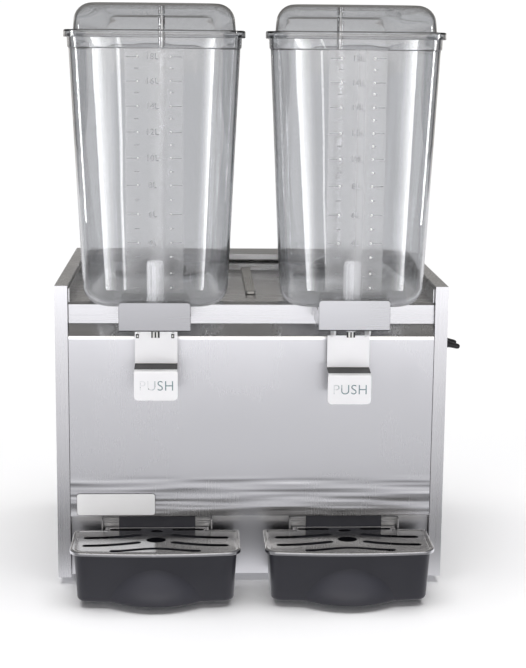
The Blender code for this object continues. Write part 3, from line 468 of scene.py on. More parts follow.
def rounded(x0, x1, y0, y1, r, n=10):
    return (
        arc(x1 - r, y0 + r, r, -90, 0, n)
        + arc(x1 - r, y1 - r, r, 0, 90, n)
        + arc(x0 + r, y1 - r, r, 90, 180, n)
        + arc(x0 + r, y0 + r, r, 180, 270, n)
    )


def turned(profile, centre, axis="z", n=40, ring=False):
    cx, cy, cz = centre

    def spot(r, h, t):
        c, s = r * math.cos(t), r * math.sin(t)
        return {"z": (cx + c, cy + s, cz + h), "y": (cx + c, cy + h, cz + s), "x": (cx + h, cy + c, cz + s)}[axis]

    rings = [[spot(r, h, 2 * math.pi * i / n) for i in range(n)] for r, h in profile]
    bm = bmesh.new()
    return closed_loft(bm, rings) if ring else loft(bm, rings)


def pipe(points, radius, n=14):
    pts = [Vector(p) for p in points]
    bm = bmesh.new()
    rings = []
    normal = None
    for i, p in enumerate(pts):
        a = pts[i - 1] if i else pts[i]
        b = pts[i + 1] if i + 1 < len(pts) else pts[i]
        t = (b - a).normalized()
        normal = t.orthogonal().normalized() if normal is None else (normal - t * normal.dot(t)).normalized()
        side = t.cross(normal)
        rings.append([p + radius * (normal * math.cos(2 * math.pi * k / n) + side * math.sin(2 * math.pi * k / n)) for k in range(n)])
    return loft(bm, rings)


def fix(bm, dist=1e-4):
    bmesh.ops.remove_doubles(bm, verts=bm.verts, dist=dist)
    bmesh.ops.recalc_face_normals(bm, faces=bm.faces)
    return bm


def _temp(bm):
    mesh = bpy.data.meshes.new("temp")
    fix(bm).to_mesh(mesh)
    bm.free()
    obj = bpy.data.objects.new("temp", mesh)
    bpy.context.scene.collection.objects.link(obj)
    return obj


def boolean(base, tool, operation):
    a, b = _temp(base), _temp(tool)
    mod = a.modifiers.new("cut", "BOOLEAN")
    mod.operation = operation
    mod.solver = "EXACT"
    mod.object = b
    bpy.context.view_layer.update()
    out = bmesh.new()
    evaluated = a.evaluated_get(bpy.context.evaluated_depsgraph_get())
    mesh = evaluated.to_mesh()
    out.from_mesh(mesh)
    evaluated.to_mesh_clear()
    for obj in (a, b):
        data = obj.data
        bpy.data.objects.remove(obj, do_unlink=True)
        bpy.data.meshes.remove(data)
    bmesh.ops.remove_doubles(out, verts=out.verts, dist=1e-4)
    bmesh.ops.dissolve_limit(out, angle_limit=math.radians(0.2), verts=out.verts, edges=out.edges)
    return out


def cut(base, *tools):
    for tool in tools:
        base = boolean(base, tool, "DIFFERENCE")
    return base


def join(base, *tools):
    for tool in tools:
        base = boolean(base, tool, "UNION")
    return base


def gathered(*parts):
    """Several separate shapes in one mesh."""
    out = bmesh.new()
    for part in parts:
        mesh = bpy.data.meshes.new("temp")
        part.to_mesh(mesh)
        part.free()
        out.from_mesh(mesh)
        bpy.data.meshes.remove(mesh)
    return out


def moved(bm, dx=0.0, dy=0.0, dz=0.0):
    bmesh.ops.translate(bm, verts=bm.verts, vec=(dx, dy, dz))
    return bm


def turn(bm, centre, angle, axis):
    bmesh.ops.rotate(bm, verts=bm.verts, cent=centre, matrix=Matrix.Rotation(angle, 3, axis))
    return bm


def settle(obj, bevel, segments, sharp, limit):
    """Rounds the edges of an object and evens out its shading."""
    obj.data.shade_smooth()
    obj.data.set_sharp_from_angle(angle=math.radians(sharp))
    if bevel:
        mod = obj.modifiers.new("edges", "BEVEL")
        mod.width = bevel * 0.001
        mod.segments = segments
        mod.limit_method = "ANGLE"
        mod.angle_limit = math.radians(limit)
        mod.miter_outer = "MITER_ARC"
        mod.use_clamp_overlap = True
    even = obj.modifiers.new("shading", "WEIGHTED_NORMAL")
    even.keep_sharp = True
    even.weight = 60


def piece(name, bm, mat, body, stands_for=(), bevel=0.0, segments=2, sharp=40, limit=30):
    bmesh.ops.translate(bm, verts=bm.verts, vec=(OX, OY, 0))
    bmesh.ops.scale(bm, verts=bm.verts, vec=(0.001, 0.001, 0.001))
    bmesh.ops.remove_doubles(bm, verts=bm.verts, dist=2e-7)
    bmesh.ops.recalc_face_normals(bm, faces=bm.faces)
    mesh = bpy.data.meshes.new(name)
    bm.to_mesh(mesh)
    bm.free()
    obj = bpy.data.objects.new(name, mesh)
    bpy.context.scene.collection.objects.link(obj)
    mesh.materials.append(mat)
    settle(obj, bevel, segments, sharp, limit)
    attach(obj, body)
    if stands_for:
        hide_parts(*([stands_for] if isinstance(stands_for, str) else stands_for))
    return obj


def refined(node, mat, bevel=0.5, segments=2, sharp=40, limit=30, levels=()):
    """The shape of a CAD node with rounded edges, as a piece that stands for it. Levels are the
    heights (mm) at which its flat walls are divided, so that no face runs around an opening."""
    mesh = NODES[node].data.copy()
    mesh.name = node + "_fine"
    bm = bmesh.new()
    bm.from_mesh(mesh)
    bmesh.ops.remove_doubles(bm, verts=bm.verts, dist=1e-6)
    for z in levels:
        found = bmesh.ops.bisect_plane(bm, geom=bm.verts[:] + bm.edges[:] + bm.faces[:], plane_co=(0, 0, z * 0.001), plane_no=(0, 0, 1), dist=1e-7)
        for part in found["geom_cut"]:
            if isinstance(part, bmesh.types.BMEdge):
                part.seam = True
    bmesh.ops.dissolve_limit(bm, angle_limit=math.radians(0.4), verts=bm.verts, edges=bm.edges, delimit={"SEAM"})
    bm.to_mesh(mesh)
    bm.free()
    mesh.materials.clear()
    mesh.materials.append(mat)
    obj = bpy.data.objects.new(node + "_fine", mesh)
    bpy.context.scene.collection.objects.link(obj)
    settle(obj, bevel, segments, sharp, limit)
    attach(obj, BODY[node])
    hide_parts(node)
    return obj


def kept(node, mat):
    """A CAD node that is shown as it is, with its finish."""
    obj = NODES[node]
    if obj.material_slots:
        for s in obj.material_slots:
            s.material = mat
    else:
        obj.data.materials.append(mat)


# ---------------------------------------------------------------- cabinet
refined("side_panel_left", M_SIDE, 0.9, 3, levels=[48.5 + 18 * k for k in range(6)])
refined("side_panel_right", M_SIDE, 0.9, 3, levels=[48.5 + 18 * k for k in range(6)] + [SWITCH_Z])
refined("front_panel", M_FRONT, 0.2, 2, 60, 12)
refined("kick_panel", M_KICK, 0.2)
refined("deck_pan", M_DECK, 0.35)
refined("deck_rib", M_RIB, 0.8, 3)
refined("rear_panel", M_REAR, 0.35, levels=[47.0 + 18 * k for k in range(8)] + [60.0])
refined("base_plate", M_BASE, 0.3)
for k in (1, 2, 3, 4):
    refined(f"foot_{k}", M_FOOT, 0.8, 3)
refined("cable_gland", M_BLACK, 0.6, 3)
refined("compressor", M_COMP, 1.2, 3)
refined("condenser", M_ALU, 0.3)
refined("fan_motor", M_MOTOR, 0.8)
refined("fan_blade", M_BLACK, 0.25)
kept("refrigerant_line", M_COPPER)

badge = prism(rounded(-193.5, -106.5, PANEL_BOTTOM + 1.4, PANEL_BOTTOM + 26.4, 3.0, 8), "y", -GAP - 0.75, -GAP)
piece("badge_plate_fine", badge, M_EDGE, "cabinet", "badge_plate", 0.12)
face = prism(rounded(-193.1, -106.9, PANEL_BOTTOM + 1.8, PANEL_BOTTOM + 26.0, 2.7, 8), "y", -GAP - 0.9, -GAP - 0.7)
piece("badge_face", face, M_BADGE, "cabinet", (), 0.06)


def screw_head(x, y, z, axis, r=3.4, out=1):
    """Pan head with a cross recess."""
    profile = [(0.01, 1.9), (r * 0.55, 1.75), (r * 0.85, 1.3), (r, 0.55), (r, 0.0)]
    bm = turned([(a, b * out) for a, b in profile], (x, y, z), axis, 20)
    w, l, d = 0.45, r * 0.6, 1.1
    if axis == "y":
        a = boxes((x - l, x + l, y + out * (1.9 - d), y + out * 4, z - w, z + w)) if out > 0 else boxes((x - l, x + l, y - 4, y - (1.9 - d), z - w, z + w))
        b = boxes((x - w, x + w, y + out * (1.9 - d), y + out * 4, z - l, z + l)) if out > 0 else boxes((x - w, x + w, y - 4, y - (1.9 - d), z - l, z + l))
    else:
        lo, hi = sorted((x + out * (1.9 - d), x + out * 4))
        a, b = boxes((lo, hi, y - l, y + l, z - w, z + w)), boxes((lo, hi, y - w, y + w, z - l, z + l))
    return cut(bm, a, b)


heads = [screw_head(x, CAB_D + 0.05, z, "y") for x in (-192, 192) for z in (26, 172, 318)]
heads += [screw_head(0, CAB_D + 0.05, z, "y") for z in (26, 318)]
piece("rear_screws", gathered(*heads), M_SCREW, "cabinet", (), 0.0, sharp=35)

# hoods of the pressed louvres on the rear panel
hoods = []
for row in range(8):
    z = 44 + row * 18
    for x in (30, 134):
        rings = []
        for i in range(9):
            u = -1 + i / 4
            w = math.sqrt(max(0.0, 1 - abs(u) ** 6))
            d = 3.4 * w + 0.05
            out = arc(0, 0, d, 90, 0, 5)
            inner = arc(0, 0, max(d - 0.9, 0.02), 0, 90, 5)
            rings.append([(x + 45.5 * u, CAB_D + 0.03 + b, z + 6.6 + 0.9 * a - 5.2) for b, a in [(q[0], q[1] * 2.0) for q in out + inner]])
        hood = bmesh.new()
        loft(hood, rings)
        hoods.append(fix(hood))
piece("rear_louvres", gathered(*hoods), M_REAR, "cabinet", (), 0.0, sharp=50)


# ---------------------------------------------------------------- bowls
def bowl_half(z):
    return 77.6 + 0.0472 * (z - BASE_Z - 316)


def bowl_front(z):
    return -58.0 - 0.022 * (z - BASE_Z - 316)


def bowl_rear(z):
    return 250.0 + 0.155 * (z - BASE_Z - 316)


def bowl_plan(half, front, rear, radius, n=12, m=18):
    """Rounded plan, counter-clockwise, with the bowed front and the taper to the rear."""
    e = half - radius
    yc = front + BOWL_BOW * e * e
    pts = [(-e + 2 * e * i / m, front + BOWL_BOW * (-e + 2 * e * i / m) ** 2) for i in range(m)]
    lean = math.atan(2 * BOWL_BOW * e)                    # the front corners run on from the bow
    big = radius / (1 - math.sin(lean))
    ya, xa = yc + big * math.cos(lean), e - big * math.sin(lean)
    pts += arc(xa, ya, big, -90 + math.degrees(lean), 0, n)
    pts += arc(e, rear - radius, radius, 0, 90, n)
    pts += arc(-e, rear - radius, radius, 90, 180, n)
    pts += arc(-xa, ya, big, 180, 270 - math.degrees(lean), n)[:-1]
    return [(x * (1 - BOWL_TAPER * (y + 58.0)), y) for x, y in pts]


def bowl_ring(z, inset, radius, side=None):
    w = bowl_half(z) - (inset if side is None else side)
    return [(x, y, z) for x, y in bowl_plan(w, bowl_front(z) + inset, bowl_rear(z) - inset, radius)]


def bowl():
    r = BOWL_CORNER
    rings = []
    for i in range(9):
        t = math.radians(11.25 * i)
        z = BOWL_Z + 20 * (1 - math.cos(t))
        k = 1 - math.sin(t)
        rings.append(bowl_ring(z, 13 * k, r - 10 * k, 21 * k))
    for z in (380, 440, 500, 560):
        rings.append(bowl_ring(z, 0.0, r))
    rings.append(bowl_ring(COLLAR_Z - 1.6, 0.0, r))
    rings.append(bowl_ring(COLLAR_Z - 0.9, -0.25, r + 0.2))
    rings.append(bowl_ring(COLLAR_Z, -1.15, r + 1.1))
    rings.append(bowl_ring(BOWL_TOP - 0.8, -1.2, r + 1.2))
    rings.append(bowl_ring(BOWL_TOP, -0.5, r + 0.5))
    rings.append(bowl_ring(BOWL_TOP, BOWL_WALL - 0.7, r - BOWL_WALL + 0.7))
    rings.append(bowl_ring(BOWL_TOP - 0.8, BOWL_WALL, r - BOWL_WALL))
    rings.append(bowl_ring(COLLAR_Z - 1.2, BOWL_WALL, r - BOWL_WALL))
    for z in (560, 500, 440, 380):
        rings.append(bowl_ring(z, BOWL_WALL, r - BOWL_WALL))
    for i in range(8, -1, -1):
        t = math.radians(11.25 * i)
        z = BOWL_Z + BOWL_FLOOR + 17 * (1 - math.cos(t))
        k = 1 - math.sin(t)
        rings.append(bowl_ring(z, BOWL_WALL + 10.4 * k, r - BOWL_WALL - 8 * k, BOWL_WALL + 18.4 * k))
    bm = bmesh.new()
    loft(bm, rings)
    bm = join(bm, turned([(12.5, -8.6), (12.5, 1.5)], (0, TAP_Y, BOWL_Z), "z", 32))
    bm = cut(bm, turned([(9.6, -20), (9.6, -0.1)], (0, TAP_Y, BOWL_Z), "z", 32))
    bm = cut(bm, turned([(7.6, -5), (7.6, 10)], (0, TAP_Y, BOWL_Z), "z", 32))
    bm = cut(bm, turned([(PLATE_R + 1.6, -5), (PLATE_R + 1.6, 10)], (0, PUMP_Y, BOWL_Z), "z", 64))
    return bm


def lid():
    top = BOWL_TOP
    r0 = BOWL_CORNER
    out = 4.6

    def outer(z, k, r):
        return [(x, y, z) for x, y in bowl_plan(bowl_half(top) - k, bowl_front(top) + k, bowl_rear(top) - k, r)]

    rings = [
        outer(LID_RIM_Z, -out + 0.5, r0 + out - 0.5),
        outer(LID_RIM_Z + 0.5, -out, r0 + out),
        outer(LID_SHELF_Z - 1.5, -out, r0 + out),
        outer(LID_SHELF_Z - 0.4, -out + 0.5, r0 + out - 0.5),
        outer(LID_SHELF_Z, -out + 1.5, r0 + out - 1.5),
        outer(LID_SHELF_Z, 4.2, r0 - 4.2),
        outer(LID_SHELF_Z + 0.4, 5.6, r0 - 5.6),
    ]
    for i in range(9):
        t = math.radians(11.25 * i)
        c = 1 - math.cos(t)
        rings.append(outer(LID_TOP - 19 * (1 - math.sin(t)), 6.4 + 19 * c, r0 - 6.4 - 8 * c))
    top_out = len(rings) - 1
    for i in range(8, -1, -1):
        t = math.radians(11.25 * i)
        c = 1 - math.cos(t)
        rings.append(outer(LID_TOP - 2.4 - 16.6 * (1 - math.sin(t)), 8.8 + 16.6 * c, r0 - 8.8 - 7 * c))
    rings.append(outer(LID_SHELF_Z - 2.2, 7.2, r0 - 7.2))
    rings.append(outer(LID_SHELF_Z - 2.2, -out + 2.4, r0 + out - 2.4))
    rings.append(outer(LID_RIM_Z, -out + 2.4, r0 + out - 2.4))
    bm = bmesh.new()
    rows = [[bm.verts.new(p) for p in ring] for ring in rings]
    n = len(rows[0])
    for k, a in enumerate(rows):
        b = rows[(k + 1) % len(rows)]
        if k == top_out:
            bm.faces.new(a)
            bm.faces.new(list(reversed(b)))
            continue
        for i in range(n):
            j = (i + 1) % n
            bm.faces.new((a[i], a[j], b[j], b[i]))
    return bm


def text_mesh(words, size, thick, spacing=1.0, shape=None):
    """Letters as a mesh in the X-Z plane, facing -Y, centred on the origin (mm)."""
    curve = bpy.data.curves.new("temp_text", "FONT")
    curve.body = words
    curve.size = size
    curve.align_x = "CENTER"
    curve.align_y = "CENTER"
    curve.extrude = thick
    curve.space_character = spacing
    if shape:
        curve.offset = shape
    obj = bpy.data.objects.new("temp_text", curve)
    bpy.context.scene.collection.objects.link(obj)
    bpy.context.view_layer.update()
    evaluated = obj.evaluated_get(bpy.context.evaluated_depsgraph_get())
    mesh = evaluated.to_mesh()
    bm = bmesh.new()
    bm.from_mesh(mesh)
    evaluated.to_mesh_clear()
    bpy.data.objects.remove(obj, do_unlink=True)
    bpy.data.curves.remove(curve)
    bmesh.ops.remove_doubles(bm, verts=bm.verts, dist=1e-5)
    bmesh.ops.rotate(bm, verts=bm.verts, cent=(0, 0, 0), matrix=Matrix.Rotation(math.pi / 2, 3, "X"))
    return bm


def litre_z(litres):
    """Height of a litre mark above the floor."""
    known = {1: 337.8, 2: 353.2, 3: 370.5, 4: 385.3, 5: 400.2, 6: 415.0, 7: 430.0, 8: 445.1, 9: 459.1, 10: 473.1,
             11: 486.7, 12: 499.8, 13: 513.5, 14: 526.1, 15: 539.9, 16: 551.4, 17: 564.5, 18: 576.1}
    return BASE_Z + known[litres]


def on_bow(bm):
    """Sets a flat pattern on the bowed front wall."""
    for v in bm.verts:
        v.co.y += BOWL_BOW * v.co.x ** 2
    return bm


def marks(size):
    """Scale on the front wall: long lines at even litres, short ones between."""
    lines, dots = [], []
    for litres in range(1, 19):
        z = litre_z(litres)
        y = bowl_front(z) - 0.02
        for s in (-1, 1):
            if s > 0 or (litres % 2 == 0 and litres >= 4):
                dots.append(turned([(0.01, -0.5), (size * 0.7, -0.42), (size, 0.0)], (s * 17.0, y, z), "y", 14))
            if litres % 2 == 0 and litres >= 4:
                a, b = 15.5, 28.5
            else:
                a, b = 15.5, 20.5
            x0, x1 = sorted((s * a, s * b))
            lines.append(boxes((x0, x1, y - 0.22, y + 0.02, z - 0.33, z + 0.33)))
    return on_bow(gathered(*lines)), on_bow(gathered(*dots))


def numerals():
    parts = []
    for litres in range(4, 19, 2):
        z = litre_z(litres)
        y = bowl_front(z) - 0.12
        parts.append(moved(text_mesh(f"{litres}L", 8.6, 0.10, 1.08), 0, y, z))
    return on_bow(gathered(*parts))


# ---------------------------------------------------------------- tap
def tap_cover(right):
    w = COVER_W / 2
    r = 3.4
    z0, z1 = (COVER_Z0 + RIGHT_COVER[0], COVER_Z1 + RIGHT_COVER[1]) if right else (COVER_Z0, COVER_Z1)
    outer = [(-w, z0), (w, z0)] + arc(w - r, z1 - r, r, 0, 90, 10) + arc(-w + r, z1 - r, r, 90, 180, 10)
    v = w - 1.2
    r2 = r - 1.2
    inner = [(-v, z0 - 5), (v, z0 - 5)] + arc(v - r2, z1 - 1.2 - r2, r2, 0, 90, 10) + arc(-v + r2, z1 - 1.2 - r2, r2, 90, 180, 10)
    bm = prism(outer, "y", COVER_FRONT, -6.0)
    bm = cut(bm, prism(inner, "y", COVER_FRONT + 1.2, 5.0))
    bm = cut(bm, boxes((-w - 5, w + 5, -61.5, 10, BOWL_Z - 0.8, COVER_Z1 + 15)))
    return cut(bm, turned([(1.9, -60), (1.9, 60)], (0, PIN_Y, PIN_Z), "x", 20))


def sheet_profile(points, thickness):
    left, right = [], []
    for i, p in enumerate(points):
        p = Vector(p)
        d0 = (p - Vector(points[i - 1])).normalized() if i else None
        d1 = (Vector(points[i + 1]) - p).normalized() if i + 1 < len(points) else None
        d0 = d0 or d1
        d1 = d1 or d0
        n0, n1 = Vector((-d0.y, d0.x)), Vector((-d1.y, d1.x))
        m = (n0 + n1).normalized()
        k = thickness / 2 / max(0.3, m.dot(n0))
        left.append(tuple(p + m * k))
        right.append(tuple(p - m * k))
    return left + right[::-1]


def eased(points, radius, n=5):
    """Path with its inner corners rounded."""
    out = [points[0]]
    for a, b, c in zip(points, points[1:], points[2:]):
        a, b, c = Vector(a), Vector(b), Vector(c)
        u, v = (a - b), (c - b)
        d = min(radius, u.length * 0.45, v.length * 0.45)
        p0, p1 = b + u.normalized() * d, b + v.normalized() * d
        for i in range(n + 1):
            t = i / n
            out.append(tuple(p0 * (1 - t) ** 2 + b * 2 * t * (1 - t) + p1 * t ** 2))
    out.append(points[-1])
    return out


def lever(drop):
    t = 0.75
    top, low, p0, p1 = LEVER_TOP - drop, LEVER_LOW - drop, PAD_Z0 - drop, PAD_Z1 - drop
    path = eased([(LEVER_Y, top), (LEVER_Y, low), (PAD_Y, p1), (PAD_Y, p0 + 5)], 2.2)
    bm = prism(sheet_profile(path, 2 * t), "x", -LEVER_W / 2, LEVER_W / 2)
    w = PAD_W / 2
    pad = [(-w, p1 - 2.6), (w, p1 - 2.6)] + arc(w - 4.5, p0 + 4.5, 4.5, 0, -90, 10) + arc(-w + 4.5, p0 + 4.5, 4.5, -90, -180, 10)
    bm = join(bm, prism(pad, "y", PAD_Y - t - 0.05, PAD_Y + t + 0.05))
    bar = [(LEVER_Y - 0.6, top - 7), (LEVER_Y + 0.6, top - 7), (LEVER_Y + 0.6, BASE_Z + 294.8), (-48, BASE_Z + 294.8),
           (PIN_Y + 3.3, PIN_Z + 1.5), (PIN_Y + 1.2, PIN_Z + 2.9), (PIN_Y - 1.5, PIN_Z + 3.0), (PIN_Y - 3.2, PIN_Z + 1.6), (PIN_Y - 3.6, PIN_Z), (PIN_Y - 2.4, PIN_Z - 3),
           (-52, BASE_Z + 290.2 - drop), (-24, top + 3), (LEVER_Y - 0.6, top - 1.5)]
    for x in (-19.7, 17.5):
        bm = join(bm, prism(bar, "x", x, x + 2.2))
    return cut(bm, turned([(1.9, -60), (1.9, 60)], (0, PIN_Y, PIN_Z), "x", 20))


def piston():
    z = BOWL_Z + BOWL_FLOOR
    top = BASE_Z + 364.0
    profile = [(5.4, LUG_Z + 0.5), (5.4, z + 0.8), (8.0, z + 0.8), (9.3, z + 1.7), (9.6, z + 2.4), (9.6, z + 3.6), (9.1, z + 4.4),
               (9.1, z + 7.6), (8.5, z + 8.0), (8.5, z + 9.4), (9.1, z + 9.8), (9.1, top - 5.4), (8.8, top - 3.2), (8.0, top - 1.2), (6.4, top - 0.25), (0.01, top)]
    bm = turned(profile, (0, TAP_Y, 0), "z", 40)
    bm = join(bm, turned([(9.0, LUG_Z), (9.0, LUG_Z + 2.6)], (0, TAP_Y, 0), "z", 32))
    bm = join(bm, boxes((-21, 21, TAP_Y - 3, TAP_Y + 3, LUG_Z + 0.3, LUG_Z + 2.5)))
    return cut(bm, turned([(3.2, LUG_Z - 5), (3.2, LUG_Z + 14)], (0, TAP_Y, 0), "z", 20))


def spring():
    """Coil at the length that it has when the piston is up, so that the piston never meets it."""
    z0, z1 = LUG_Z + 9.4, BOWL_Z - 1.4
    pts = []
    for i in range(121):
        t = i / 120
        a = 2 * math.pi * 4.0 * t
        pts.append((7.4 * math.cos(a), TAP_Y + 7.4 * math.sin(a), z0 + (z1 - z0) * t))
    return pipe(pts, 0.7, 8)


# ---------------------------------------------------------------- drip trays
def tray_plan(half, front, rear, mid, corner, inset=0.0, reach=0.0, bulge=4.0, mid_part=1.0, n=8):
    """Plan of tray or grille, counter-clockwise: bowed front, and the rear edge's middle set back.
    reach and bulge are the depth and half width of the bulge at that height; mid_part is the
    share of the inset that the middle of the rear edge takes."""
    w, yr = half - inset, rear - inset
    xm, ym = mid[0] - inset, mid[1] - inset * mid_part
    r = max(2.0, corner - inset)
    e = w - r

    def front_y(x):
        return front + inset + 5.0 * (x / 80.0) ** 2 - reach * max(0.0, 1 - (x / bulge) ** 2)

    steps = [bulge * k / 10 for k in range(11)] + [bulge + (e - bulge) * k / 8 for k in range(1, 9)]
    xs = [-x for x in steps[:0:-1]] + steps
    pts = [(x, front_y(x)) for x in xs]
    yc = front_y(e) + r
    pts += arc(w - r, yc, r, -90, 0, n)[1:]
    pts += arc(w - 4, yr - 4, 4, 0, 90, 5)
    pts += [(xm, yr), (xm, ym), (-xm, ym), (-xm, yr)]
    pts += arc(-w + 4, yr - 4, 4, 90, 180, 5)
    pts += arc(-w + r, yc, r, 180, 270, n)[:-1]
    return pts


def rim_ring(z, inset):
    return [(x, y, z) for x, y in tray_plan(RIM_W / 2, RIM_FRONT, RIM_REAR, RIM_MID, 15.0, inset, mid_part=0.45)]


def body_ring(z, inset):
    down = (BODY_TOP - z) / (BODY_TOP - TRAY_Z0)
    t = min(1.0, max(0.0, (z - TRAY_Z0) / BULGE_H))
    half = BULGE_W * (1 - t ** 1.8) ** 0.6
    plan = tray_plan(BODY_W / 2 - 3.0 * down, BODY_FRONT + 6.5 * down, -11.8, BODY_MID, 13.0, inset,
                     BULGE_OUT * half * half, max(4.0, half))
    return [(x, y, z) for x, y in plan]


def tray():
    wall = 2.4
    floor = TRAY_Z0 + 2.6
    up = (6, 9, 12, 15, 18, 21, 24, 27, 29.5, 31.5, 33.5, 35, 36.3, 37.4, 38.3, 38.9, BULGE_H)
    rings = [body_ring(TRAY_Z0, 3.0), body_ring(TRAY_Z0 + 0.4, 1.7), body_ring(TRAY_Z0 + 1.4, 0.6), body_ring(TRAY_Z0 + 3.2, 0)]
    rings += [body_ring(TRAY_Z0 + h, 0) for h in up]
    rings += [body_ring(BODY_TOP - 0.5, 0), body_ring(BODY_TOP, 0.5), body_ring(BODY_TOP, wall - 0.5), body_ring(BODY_TOP - 0.5, wall)]
    rings += [body_ring(TRAY_Z0 + h, wall) for h in (BULGE_H, 38, 35, 31, 26, 20, 14, 8)]
    rings += [body_ring(floor, wall + 2.0)]
    bm = bmesh.new()
    loft(bm, rings)
    hx, hf, hr = HOOK
    hook = join(boxes((-hx, hx, hf, hr, TRAY_Z0 + 33, BASE_Z + 70.0)), boxes((-hx, hx, BODY_MID[1] - 1.6, hr - 0.4, TRAY_Z0 + 34, TRAY_Z0 + 50)))
    return join(bm, hook)


def slot_shape(cx, width, half, line, n=16):
    """Slot outline in plan, with round ends; line gives its middle's y at t from 0 to 1 along x."""
    r = width / 2
    mid = []
    for i in range(n + 1):
        t = i / n
        mid.append(Vector((cx - half + r + (2 * half - width) * t, line(t))))
    top, low = [], []
    for i, p in enumerate(mid):
        d = (mid[min(i + 1, n)] - mid[max(i - 1, 0)]).normalized()
        s = Vector((-d.y, d.x))
        top.append(tuple(p + s * r))
        low.append(tuple(p - s * r))
    d0, d1 = (mid[1] - mid[0]).normalized(), (mid[-1] - mid[-2]).normalized()
    a0, a1 = math.degrees(math.atan2(d0.y, d0.x)), math.degrees(math.atan2(d1.y, d1.x))
    return top[::-1] + arc(mid[0].x, mid[0].y, r, a0 + 90, a0 + 270, 8)[1:-1] + low + arc(mid[-1].x, mid[-1].y, r, a1 - 90, a1 + 90, 8)[1:-1]


def grille_slots(g=0.0):
    """Outlines of the slots and the two ovals, grown by g."""
    found = []
    for cy, rx, ry in ((-12.6, 7.0, 4.4), (-44.0, 10.6, 9.0)):
        found.append([((rx + g) * math.cos(math.radians(a)), cy + (ry + g) * math.sin(math.radians(a))) for a in range(0, 360, 8)])
    for s in (-1, 1):
        def rise(outer, gain):
            return lambda t: outer + gain * (1 - t if s > 0 else t) ** 2
        found.append(slot_shape(s * 34.7, 7.0 + 2 * g, 17.6 + g, lambda t: -7.0, 4))
        found.append(slot_shape(s * 47.6, 8.1 + 2 * g, 31.6 + g, rise(-36.4, 9.6)))
        found.append(slot_shape(s * 47.4, 8.1 + 2 * g, 31.4 + g, rise(-63.0, 10.4)))
    found.append(slot_shape(0.0, 7.0 + g, 48.8 + g * 0.5, lambda t: -80.9 + 7.6 * math.sin(math.pi * t) ** 2, 30))
    return found


def grille():
    top = TRAY_Z1 + 0.6
    rings = [rim_ring(TRAY_Z1 - 1.1, 2.0), rim_ring(TRAY_Z1 - 4.0, 2.0), rim_ring(TRAY_Z1 - 4.0, 0.6), rim_ring(TRAY_Z1 - 3.85, 0.2), rim_ring(TRAY_Z1 - 3.4, 0.0),
             rim_ring(top - 1.7, 0.0), rim_ring(top - 0.95, 0.2), rim_ring(top - 0.4, 0.65), rim_ring(top - 0.1, 1.3), rim_ring(top, 2.2), rim_ring(top - 0.08, 3.2),
             rim_ring(top - 0.4, 4.0), rim_ring(top - 0.75, 4.6), rim_ring(top - 0.9, 5.0), rim_ring(top - 0.9, 5.5), rim_ring(top - 0.6, 5.8), rim_ring(top - 0.45, 6.3)]
    bm = bmesh.new()
    loft(bm, rings)
    # the slots are wider below than above
    for small, big in zip(grille_slots(), grille_slots(1.7)):
        tool = bmesh.new()
        loft(tool, [[(x, y, z) for x, y in line] for line, z in ((big, TRAY_Z1 - 8.0), (big, TRAY_Z1 - 1.2), (small, TRAY_Z1 + 0.0), (small, TRAY_Z1 + 5.0))])
        bm = cut(bm, tool)
    return bm


def bracket():
    """Steel hanger behind the upstand; its ears and two pressed beads show beside it."""
    y0 = HOOK[2] + GAP + 0.2
    top = BASE_Z + 69.0
    bm = boxes((-61.5, 61.5, y0, y0 + 1.4, TRAY_Z0 + 29, top))
    bm = join(bm, boxes((-61.5, 61.5, y0 + 0.5, KICK_Y - GAP, TRAY_Z0 + 29, TRAY_Z0 + 32)))
    for s in (-1, 1):
        x0, x1 = sorted((s * 59.9, s * 61.5))
        bm = join(bm, boxes((x0, x1, -6.0, y0 + 0.7, BASE_Z + 52, top)))
        for z in (BASE_Z + 67.4, BASE_Z + 63.4):
            bm = join(bm, turned([(1.1, min(s * 43.3, s * 60.2)), (1.1, max(s * 43.3, s * 60.2))], (0, y0 + 0.1, z), "x", 14))
    return bm


# ---------------------------------------------------------------- both stations
CLEAR_ALL = bpy.data.collections.new("clear_pieces_all")
CLEAR_PIECES = {side: bpy.data.collections.new(f"clear_pieces_{side}") for side in ("left", "right")}   # what the strips reach

